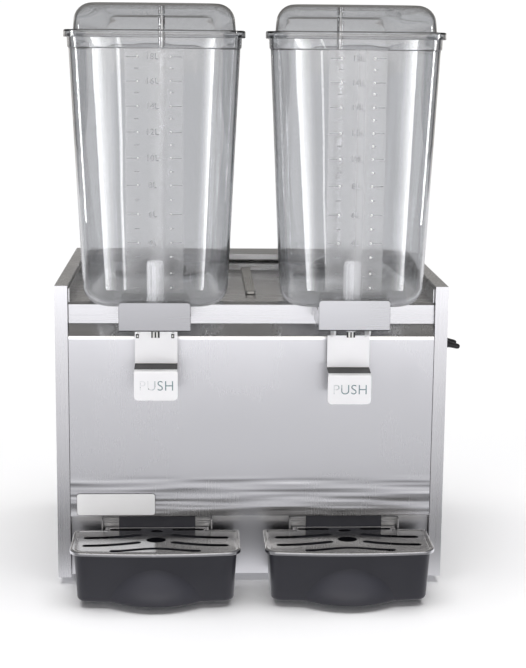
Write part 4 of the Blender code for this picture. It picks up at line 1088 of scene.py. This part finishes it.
for name, s in (("left", -1), ("right", 1)):
    x = s * PITCH / 2
    bowl_body, lid_body = f"bowl_unit_{name}", f"lid_unit_{name}"
    centre = (x + OX) * 0.001
    # painted light: the right bowl's frosted band is made milkier, so lighter, than the left one's
    glass = clear(f"clear_bowl_{name}", (0.70, 0.707, 0.72), centre, (-50.0 + OY) * 0.001, milky=0.18 if s > 0 else 0.12)
    tub = piece(f"bowl_{name}_fine", moved(bowl(), x), glass, bowl_body, f"bowl_{name}", sharp=50)
    top = piece(f"lid_{name}_fine", moved(lid(), x), clear(f"clear_lid_{name}", (0.68, 0.685, 0.695)), lid_body, f"lid_{name}", sharp=50)
    tub.visible_shadow = top.visible_shadow = False       # clear plastic hardly shades what is in it
    CLEAR_PIECES[name].objects.link(tub)
    CLEAR_ALL.objects.link(tub)
    CLEAR_ALL.objects.link(top)
    lines, dots = marks(1.25 if s > 0 else 0.8)
    piece(f"scale_lines_{name}", moved(lines, x), M_MARK, bowl_body, ())
    piece(f"scale_dots_{name}", moved(dots, x), M_DOT, bowl_body, ())
    piece(f"scale_numbers_{name}", moved(numerals(), x - (1.9 if s < 0 else 0.0)), M_MARK, bowl_body, ())

    refined(f"evaporator_{name}", M_PLATE, 0.6, 3)
    kept(f"bowl_seal_{name}", M_SEAL)
    refined(f"impeller_{name}", M_HAZY, 0.3)
    refined(f"pump_cover_{name}", M_HAZY, 0.4)
    refined(f"pump_motor_{name}", M_MOTOR, 0.8)

    z0, z1 = DECK_Z + 30.0, BASE_Z + 626.2
    tube = turned([(2.8, z0), (4.0, z0), (4.0, z1), (2.8, z1)], (0, PUMP_Y, 0), "z", 28, ring=True)
    foot = turned([(2.8, z0 - 3), (6.8, z0 - 3), (6.8, z0 + 6), (6.0, z0 + 7), (2.8, z0 + 7)], (0, PUMP_Y, 0), "z", 28, ring=True)
    piece(f"spray_tube_{name}_fine", moved(join(tube, foot), x + 2.6), M_TUBE, "cabinet", f"spray_tube_{name}", 0.2)

    piece(f"tap_cover_{name}_fine", moved(tap_cover(s > 0), x), M_COVER_LIT_AND_SHADED[name], bowl_body, f"tap_cover_{name}", 0.45, 3)
    piece(f"push_lever_{name}_fine", moved(lever(RIGHT_DROP if s > 0 else 0.0), x), M_LEVER[name], f"lever_unit_{name}", f"push_lever_{name}", 0.3, 2, limit=35)
    drop = RIGHT_DROP if s > 0 else 0.0
    word = text_mesh("PUSH", 15.4, 0.12, 1.06, -0.16)
    word = moved(word, x + 0.7, PAD_Y - 0.86, (PAD_Z0 + PAD_Z1) / 2 - drop - 0.9)
    paint = worn_paint(f"letter_paint_{name}", centre + (0.001 if s < 0 else -0.0085), 0.009, (0.17, 0.25, 0.27), (0.80, 0.81, 0.82))
    piece(f"lever_word_{name}", word, paint, f"lever_unit_{name}", ())
    z0 = COVER_Z0 + (RIGHT_COVER[0] if s > 0 else 0.0)
    # painted shade: a black strip set just behind and below each cover's lower edge, where there is only a shadow gap
    shade_strip_box = boxes((-COVER_W / 2 + 0.5, COVER_W / 2 - 0.5, COVER_FRONT + 1.3, COVER_FRONT + 2.1, z0 - 1.0, z0 + 4.0))
    piece(f"cover_lip_{name}", moved(shade_strip_box, x), M_BLACK, bowl_body, (), 0.1)
    tail = 289.2 + (0.6 if s > 0 else 0.0)
    core = boxes((-4.5, 4.4, TAP_Y - 0.9, TAP_Y + 1.0, tail, LUG_Z - 7.6))
    piece(f"nozzle_core_{name}", moved(core, x), M_BLACK, f"piston_unit_{name}", (), 0.2)
    rods = gathered(*(boxes((a, b, TAP_Y - 1.9, TAP_Y - 0.95, tail + 0.3, LUG_Z - 7.6)) for a, b in ((-2.9, -0.8), (0.8, 2.5))))
    piece(f"nozzle_rods_{name}", moved(rods, x), M_WHITE, f"piston_unit_{name}", (), 0.2)
    if s < 0:
        tabs = gathered(*(boxes((a, b, LEVER_Y - 1.3, LEVER_Y - 0.76, LEVER_TOP - 7.2, LEVER_TOP - 2.6)) for a, b in ((-21.8, -18.6), (16.4, 19.6))))
        piece(f"lever_tabs_{name}", moved(tabs, x), M_BLACK, f"lever_unit_{name}", (), 0.2)
        dots2 = gathered(*(boxes((a, b, LEVER_Y - 1.5, LEVER_Y - 1.32, LEVER_TOP - 6.0, LEVER_TOP - 3.8)) for a, b in ((-20.8, -19.4), (17.2, 18.6))))
        piece(f"lever_tab_faces_{name}", moved(dots2, x), M_WHITE, f"lever_unit_{name}", (), 0.05)
    refined(f"lever_pin_{name}", M_BRIGHT, 0.3)
    piece(f"valve_piston_{name}_fine", moved(piston(), x), M_PISTON, f"piston_unit_{name}", f"valve_piston_{name}", 0.15)
    refined(f"tap_spout_{name}", M_BRIGHT, 0.2)
    piece(f"valve_spring_{name}_fine", moved(spring(), x), M_BRIGHT, bowl_body, f"valve_spring_{name}", 0.0)

    piece(f"drip_tray_{name}_fine", moved(tray(), x), M_TRAY, f"tray_unit_{name}", f"drip_tray_{name}", 0.0, sharp=17)
    piece(f"drip_grille_{name}_fine", moved(grille(), x), M_GRILLE, f"grille_unit_{name}", f"drip_grille_{name}", 0.22, 2, sharp=50, limit=45)
    piece(f"tray_bracket_{name}_fine", moved(bracket(), x), M_BRACKET, "cabinet", f"tray_bracket_{name}", 0.3, 2)


# ---------------------------------------------------------------- switches
for k, y in enumerate(SWITCH_Y, 1):
    w = CAB_W / 2
    body = boxes((w - 36, w - 12, y - 8, y + 8, SWITCH_Z - 13, SWITCH_Z + 13))
    body = join(body, turned([(5.8, -13), (5.8, 2.2)], (w, y, SWITCH_Z), "x", 28))
    body = join(body, turned([(8.6, 0.4), (8.6, 2.0)], (w, y, SWITCH_Z), "x", 6))
    piece(f"switch_body_{k}_fine", body, M_BLACK, "cabinet", f"switch_body_{k}", 0.25)
    px = w + 7.6
    profile = [(0.8, -4.95)] + [(5 * math.cos(math.radians(a)), 5 * math.sin(math.radians(a))) for a in (-70, -60, -45, -30, -15, 0)]
    profile += [(4.9, 1.2), (4.4, 2.6), (3.7, 4.4), (3.35, 6.5), (3.2, 9.0), (3.15, 12.0), (3.0, 14.5), (2.7, 15.8), (2.1, 16.8), (1.2, 17.3), (0.3, 17.4)]
    boot = turned(profile, (px, y, SWITCH_Z), "x", 28)
    boot = turn(boot, (px, y, SWITCH_Z), SWITCH_TILT, "Y")
    piece(f"switch_lever_{k}_fine", boot, M_RUBBER, f"toggle_{k}", f"switch_lever_{k}")


# ---------------------------------------------------------------- floor, light, camera
def floor_material():
    s = Shader("studio_floor")
    tone = s.noise(s.scaled((1, 1, 1)), 3.0, 2.0, 0.5)
    s.feed(s.ramp(s.remap(tone, 0.3, 0.7, 0.0, 1.0), [(0.0, (0.86, 0.86, 0.875)), (1.0, (0.88, 0.88, 0.89))]), "Base Color")
    s.set(Roughness=0.32, Specular_IOR_Level=0.35)
    # further back the sheet turns into the white, lit backdrop
    lit = s.node("ShaderNodeEmission")
    lit.inputs["Color"].default_value = (1.0, 1.0, 1.0, 1.0)
    lit.inputs["Strength"].default_value = 1.03
    both = s.node("ShaderNodeMixShader")
    s.link(s.remap(s.axes()[1], 0.10, 0.90, 0.0, 1.0, "SMOOTHSTEP"), both.inputs["Fac"])
    s.link(s.main.outputs["BSDF"], both.inputs[1])
    s.link(lit.outputs["Emission"], both.inputs[2])
    s.link(both.outputs["Shader"], s.tree.nodes["Material Output"].inputs["Surface"])
    return s.mat


def stage_mesh(name, verts, faces, mat):
    mesh = bpy.data.meshes.new(name)
    mesh.from_pydata(verts, [], faces)
    mesh.materials.append(mat)
    mesh.shade_smooth()
    obj = bpy.data.objects.new(name, mesh)
    bpy.context.scene.collection.objects.link(obj)
    return obj


# one sheet: floor, then a curve up to a low back wall
far, rise, wall = 6.5, 0.5, 0.62
path = [(-9.0, 0.0), (-0.01, 0.0), (2.2, 0.0), (far, 0.0)]
for i in range(1, 13):
    t = math.radians(90 * i / 12)
    path.append((far + rise * math.sin(t), rise * (1 - math.cos(t))))
path.append((far + rise, wall + 0.6))
verts, faces = [], []
for y, z in path:
    half = 9.0 if y < 0.0 else 2.6
    verts += [(-half, y, z), (half, y, z)]
for i in range(len(path) - 1):
    faces.append((2 * i, 2 * i + 1, 2 * i + 3, 2 * i + 2))
sheet = stage_mesh("studio_floor", verts, faces, floor_material())
sheet.visible_glossy = False                              # the steel mirrors the toned cards below instead


def glow(name, stops=None, axis=1, lo=0.0, hi=1.0, strength=1.0):
    """Light card; a list of stops makes it fall off along one axis."""
    mat = bpy.data.materials.new(name)
    mat.use_nodes = True
    tree = mat.node_tree
    for old in list(tree.nodes):
        tree.nodes.remove(old)
    out = tree.nodes.new("ShaderNodeOutputMaterial")
    shine = tree.nodes.new("ShaderNodeEmission")
    tree.links.new(shine.outputs[0], out.inputs["Surface"])
    shine.inputs["Strength"].default_value = strength
    if stops:
        co = tree.nodes.new("ShaderNodeTexCoord")
        sep = tree.nodes.new("ShaderNodeSeparateXYZ")
        tree.links.new(co.outputs["Object"], sep.inputs[0])
        m = tree.nodes.new("ShaderNodeMapRange")
        m.inputs["From Min"].default_value = lo
        m.inputs["From Max"].default_value = hi
        tree.links.new(sep.outputs[axis], m.inputs["Value"])
        r = tree.nodes.new("ShaderNodeValToRGB")
        while len(r.color_ramp.elements) < len(stops):
            r.color_ramp.elements.new(0.5)
        for e, (p, v) in zip(r.color_ramp.elements, stops):
            e.position = p
            e.color = (v * 0.96, v * 0.957, v, 1)
        tree.links.new(m.outputs["Result"], r.inputs["Fac"])
        tree.links.new(r.outputs["Color"], shine.inputs["Color"])
    return mat


def card(name, verts, mat, through=False):
    """A card of the studio: seen in reflections only."""
    obj = stage_mesh(name, verts, [(0, 1, 2, 3)], mat)
    obj.visible_camera = obj.visible_diffuse = obj.visible_shadow = obj.visible_volume_scatter = False
    obj.visible_transmission = through
    obj.visible_glossy = True
    return obj


# the table top as the steel mirrors it: dim close to the front, bright further out and at the back
near, away = 0.10, -9.0
span = near - away


def at(y):
    return (near - y) / span


table = glow("table_glow", [(0.0, 1.00), (at(-0.10), 0.95), (at(-0.17), 0.84), (at(-0.22), 0.46), (at(-0.27), 0.22), (at(-0.36), 0.22), (at(-0.43), 0.48), (at(-0.50), 0.64), (at(-0.64), 0.76), (at(-0.80), 0.76),
                            (at(-1.0), 0.76), (at(-1.4), 0.83), (at(-1.95), 0.95), (at(-2.25), 2.2), (1.0, 2.3)], 1, near, away)
card("table_card", [(-4.0, 4.0, -0.003), (-4.0, away, -0.003), (4.0, away, -0.003), (4.0, 4.0, -0.003)], table)
# soft strips, mirrored at the edges of the bowls' bowed faces; they light nothing else. Each has its
# corners at the foot and at the head in the plane y = -1.4 m of the cabinet, and fades across.
def strip(name, foot, head, stops, strength, reach):
    mat = bpy.data.materials.new(name)
    mat.use_nodes = True
    tree = mat.node_tree
    for old in list(tree.nodes):
        tree.nodes.remove(old)
    out = tree.nodes.new("ShaderNodeOutputMaterial")
    both = tree.nodes.new("ShaderNodeAddShader")
    veil = tree.nodes.new("ShaderNodeBsdfTransparent")
    shine = tree.nodes.new("ShaderNodeEmission")
    shine.inputs["Strength"].default_value = strength
    across = tree.nodes.new("ShaderNodeUVMap")
    across.uv_map = "across"
    parts = tree.nodes.new("ShaderNodeSeparateXYZ")
    fall = tree.nodes.new("ShaderNodeValToRGB")
    while len(fall.color_ramp.elements) < len(stops):
        fall.color_ramp.elements.new(0.5)
    for e, (spot, v) in zip(fall.color_ramp.elements, stops):
        e.position = spot
        e.color = (v * 0.985, v * 0.99, v, 1)
    for a, b in ((across.outputs[0], parts.inputs[0]), (parts.outputs[0], fall.inputs["Fac"]), (fall.outputs["Color"], shine.inputs["Color"]),
                 (shine.outputs[0], both.inputs[0]), (veil.outputs[0], both.inputs[1]), (both.outputs[0], out.inputs["Surface"])):
        tree.links.new(a, b)
    (x0, x1), (x2, x3) = foot, head
    y = (-1400.0 + OY) * 0.001
    lean = [(x0, 45.0, x2, 530.0), (x1, 45.0, x3, 530.0)]
    verts = []
    for (xa, za, xb, zb), z in ((lean[0], -30.0), (lean[1], -30.0), (lean[1], 800.0), (lean[0], 800.0)):
        verts.append(((xa + (xb - xa) * (z - za) / (zb - za) + OX) * 0.001, y, z * 0.001))
    made = card(name, verts, mat, through=True)
    layer = made.data.uv_layers.new(name="across")
    for loop, uv in zip(layer.data, ((0, 0), (1, 0), (1, 1), (0, 1))):
        loop.uv = uv
    made.light_linking.receiver_collection = reach
    return made


def additive(name, strength):
    """Even glow that hides nothing behind it."""
    mat = glow(name, strength=strength)
    tree = mat.node_tree
    both = tree.nodes.new("ShaderNodeAddShader")
    veil = tree.nodes.new("ShaderNodeBsdfTransparent")
    shine = next(n for n in tree.nodes if n.bl_idname == "ShaderNodeEmission")
    out = next(n for n in tree.nodes if n.bl_idname == "ShaderNodeOutputMaterial")
    tree.links.new(shine.outputs[0], both.inputs[0])
    tree.links.new(veil.outputs[0], both.inputs[1])
    tree.links.new(both.outputs[0], out.inputs["Surface"])
    return mat


SOFT = [(0.0, 1.0), (0.22, 1.0), (0.48, 0.38), (0.75, 0.10), (1.0, 0.0)]
THIN = [(0.0, 0.0), (0.35, 1.0), (0.65, 1.0), (1.0, 0.0)]
STRENGTH = 9.5
strip("strip_left_l", (-590.0, -425.0), (-672.0, -440.0), SOFT, STRENGTH, CLEAR_PIECES["left"])
strip("strip_left_m", (-408.0, -378.0), (-440.0, -402.0), THIN, STRENGTH * 0.8, CLEAR_PIECES["left"])
strip("strip_left_r", (294.0, 190.0), (362.0, 236.0), SOFT, STRENGTH, CLEAR_PIECES["left"])
strip("strip_right_l", (-156.0, -30.0), (-292.0, -105.0), SOFT, STRENGTH, CLEAR_PIECES["right"])
strip("strip_right_m", (7.0, 27.0), (-58.0, -36.0), THIN, STRENGTH * 0.6, CLEAR_PIECES["right"])
strip("strip_right_r", (727.0, 560.0), (752.0, 560.0), SOFT, STRENGTH, CLEAR_PIECES["right"])
# tall strips far out at both sides draw the tubes and the corners of the clear pieces
for side, s in (("left", -1), ("right", 1)):
    x, y = s * 1.42 - 0.01, -0.24
    away_x, away_y = x + s * 0.03, y + 0.16
    made = card(f"side_strip_{side}", [(x, y, 0.20), (away_x, away_y, 0.20), (away_x, away_y, 0.80), (x, y, 0.80)], additive(f"side_glow_{side}", 22.0), through=True)
    made.light_linking.receiver_collection = CLEAR_ALL

world = bpy.data.worlds.new("studio")
bpy.context.scene.world = world
world.use_nodes = True
wt = world.node_tree
for old in list(wt.nodes):
    wt.nodes.remove(old)
out = wt.nodes.new("ShaderNodeOutputWorld")
back = wt.nodes.new("ShaderNodeBackground")
wt.links.new(back.outputs[0], out.inputs["Surface"])
coord = wt.nodes.new("ShaderNodeTexCoord")
split = wt.nodes.new("ShaderNodeSeparateXYZ")
wt.links.new(coord.outputs["Generated"], split.inputs[0])


def world_ramp(socket, stops, lo, hi):
    m = wt.nodes.new("ShaderNodeMapRange")
    m.inputs["From Min"].default_value = lo
    m.inputs["From Max"].default_value = hi
    wt.links.new(socket, m.inputs["Value"])
    r = wt.nodes.new("ShaderNodeValToRGB")
    r.color_ramp.interpolation = "EASE"
    while len(r.color_ramp.elements) < len(stops):
        r.color_ramp.elements.new(0.5)
    for e, (p, v) in zip(r.color_ramp.elements, stops):
        e.position = p
        e.color = (v, v * 0.97, v * 0.935, 1)
    wt.links.new(m.outputs["Result"], r.inputs["Fac"])
    return r.outputs["Color"]


# dim room above the table, a little brighter at the back and at the sides
front_sky = world_ramp(split.outputs["Z"], [(0.0, 2.3), (0.06, 2.2), (0.18, 0.42), (0.34, 0.20), (0.70, 0.20), (1.0, 0.30)], 0.0, 1.0)
back_sky = world_ramp(split.outputs["Z"], [(0.0, 0.9), (0.07, 0.85), (0.16, 0.26), (1.0, 0.30)], 0.0, 1.0)
facing = wt.nodes.new("ShaderNodeMapRange")
facing.inputs["From Min"].default_value = -0.25
facing.inputs["From Max"].default_value = 0.35
wt.links.new(split.outputs["Y"], facing.inputs["Value"])
blend = wt.nodes.new("ShaderNodeMix")
blend.data_type = "RGBA"
wt.links.new(facing.outputs["Result"], blend.inputs["Factor"])
wt.links.new(front_sky, blend.inputs[6])
wt.links.new(back_sky, blend.inputs[7])
# black flags at both sides draw the edges of the clear pieces
side_abs = wt.nodes.new("ShaderNodeMath")
side_abs.operation = "ABSOLUTE"
wt.links.new(split.outputs["X"], side_abs.inputs[0])
flags = wt.nodes.new("ShaderNodeMapRange")
flags.interpolation_type = "SMOOTHSTEP"
for key, number in (("From Min", 0.42), ("From Max", 0.72), ("To Min", 0.0), ("To Max", 1.0)):
    flags.inputs[key].default_value = number
wt.links.new(side_abs.outputs[0], flags.inputs["Value"])
flagged = wt.nodes.new("ShaderNodeMix")
flagged.data_type = "RGBA"
wt.links.new(flags.outputs["Result"], flagged.inputs["Factor"])
wt.links.new(blend.outputs[2], flagged.inputs[6])
flagged.inputs[7].default_value = (0.12, 0.12, 0.125, 1.0)
wt.links.new(flagged.outputs[2], back.inputs["Color"])
back.inputs["Strength"].default_value = 1.0


def area(name, place, aim, size, watts, glossy=False):
    data = bpy.data.lights.new(name, "AREA")
    data.shape = "RECTANGLE"
    data.size, data.size_y = size
    data.energy = watts
    obj = bpy.data.objects.new(name, data)
    bpy.context.scene.collection.objects.link(obj)
    obj.location = place
    obj.rotation_mode = "QUATERNION"
    obj.rotation_quaternion = (Vector(aim) - Vector(place)).to_track_quat("-Z", "Y")
    obj.visible_glossy = glossy
    obj.visible_transmission = glossy
    obj.visible_camera = False
    return obj


area("top_softbox", (0.0, -0.2, 3.2), (0.0, 0.0, 0.0), (3.6, 3.0), 150)
for name, place, aim, size, watts, wanted in (("tray_light", (0.01, -0.40, 1.50), (0.01, -0.34, 0.0), (1.0, 0.4), 24.0, "drip_tray"),
                                              ("piston_light", (-0.35, -1.7, 1.1), (0.0, -0.10, 0.33), (0.9, 0.7), 60.0, "valve_piston")):
    lamp = area(name, place, aim, size, watts)
    lit = bpy.data.collections.new(name + "_receivers")
    for obj in bpy.data.objects:
        if obj.name.startswith(wanted) and obj.name.endswith("_fine"):
            lit.objects.link(obj)
    lamp.light_linking.receiver_collection = lit
    if wanted == "valve_piston":
        lamp.light_linking.blocker_collection = lit
area("front_softbox", (-0.6, -3.4, 1.6), (0.0, 0.0, 0.3), (2.6, 1.8), 34)

CAM_POS = (-59.8, -1661.4, 594.1)
CAM_PITCH, CAM_YAW, CAM_ROLL = math.radians(10.49), math.radians(-2.47), math.radians(0.53)
CAM_F = 1545.0
cam_data = bpy.data.cameras.new("camera")
cam_data.sensor_width = 36.0
cam_data.lens = CAM_F * 36.0 / 668.0
cam_data.clip_start, cam_data.clip_end = 0.05, 60.0
cam = bpy.data.objects.new("camera", cam_data)
bpy.context.scene.collection.objects.link(cam)
ahead = Vector((-math.sin(CAM_YAW) * math.cos(CAM_PITCH), math.cos(CAM_YAW) * math.cos(CAM_PITCH), -math.sin(CAM_PITCH)))
right0 = Vector((math.cos(CAM_YAW), math.sin(CAM_YAW), 0.0))
up0 = right0.cross(ahead)
right = right0 * math.cos(CAM_ROLL) + up0 * math.sin(CAM_ROLL)
up = up0 * math.cos(CAM_ROLL) - right0 * math.sin(CAM_ROLL)
cam.matrix_world = Matrix((
    (right.x, up.x, -ahead.x, (CAM_POS[0] + OX) * 0.001),
    (right.y, up.y, -ahead.y, (CAM_POS[1] + OY) * 0.001),
    (right.z, up.z, -ahead.z, CAM_POS[2] * 0.001),
    (0.0, 0.0, 0.0, 1.0),
))
bpy.context.scene.camera = cam
bpy.context.scene.view_settings.view_transform = "Standard"
bpy.context.scene.view_settings.look = "None"

bpy.context.view_layer.update()
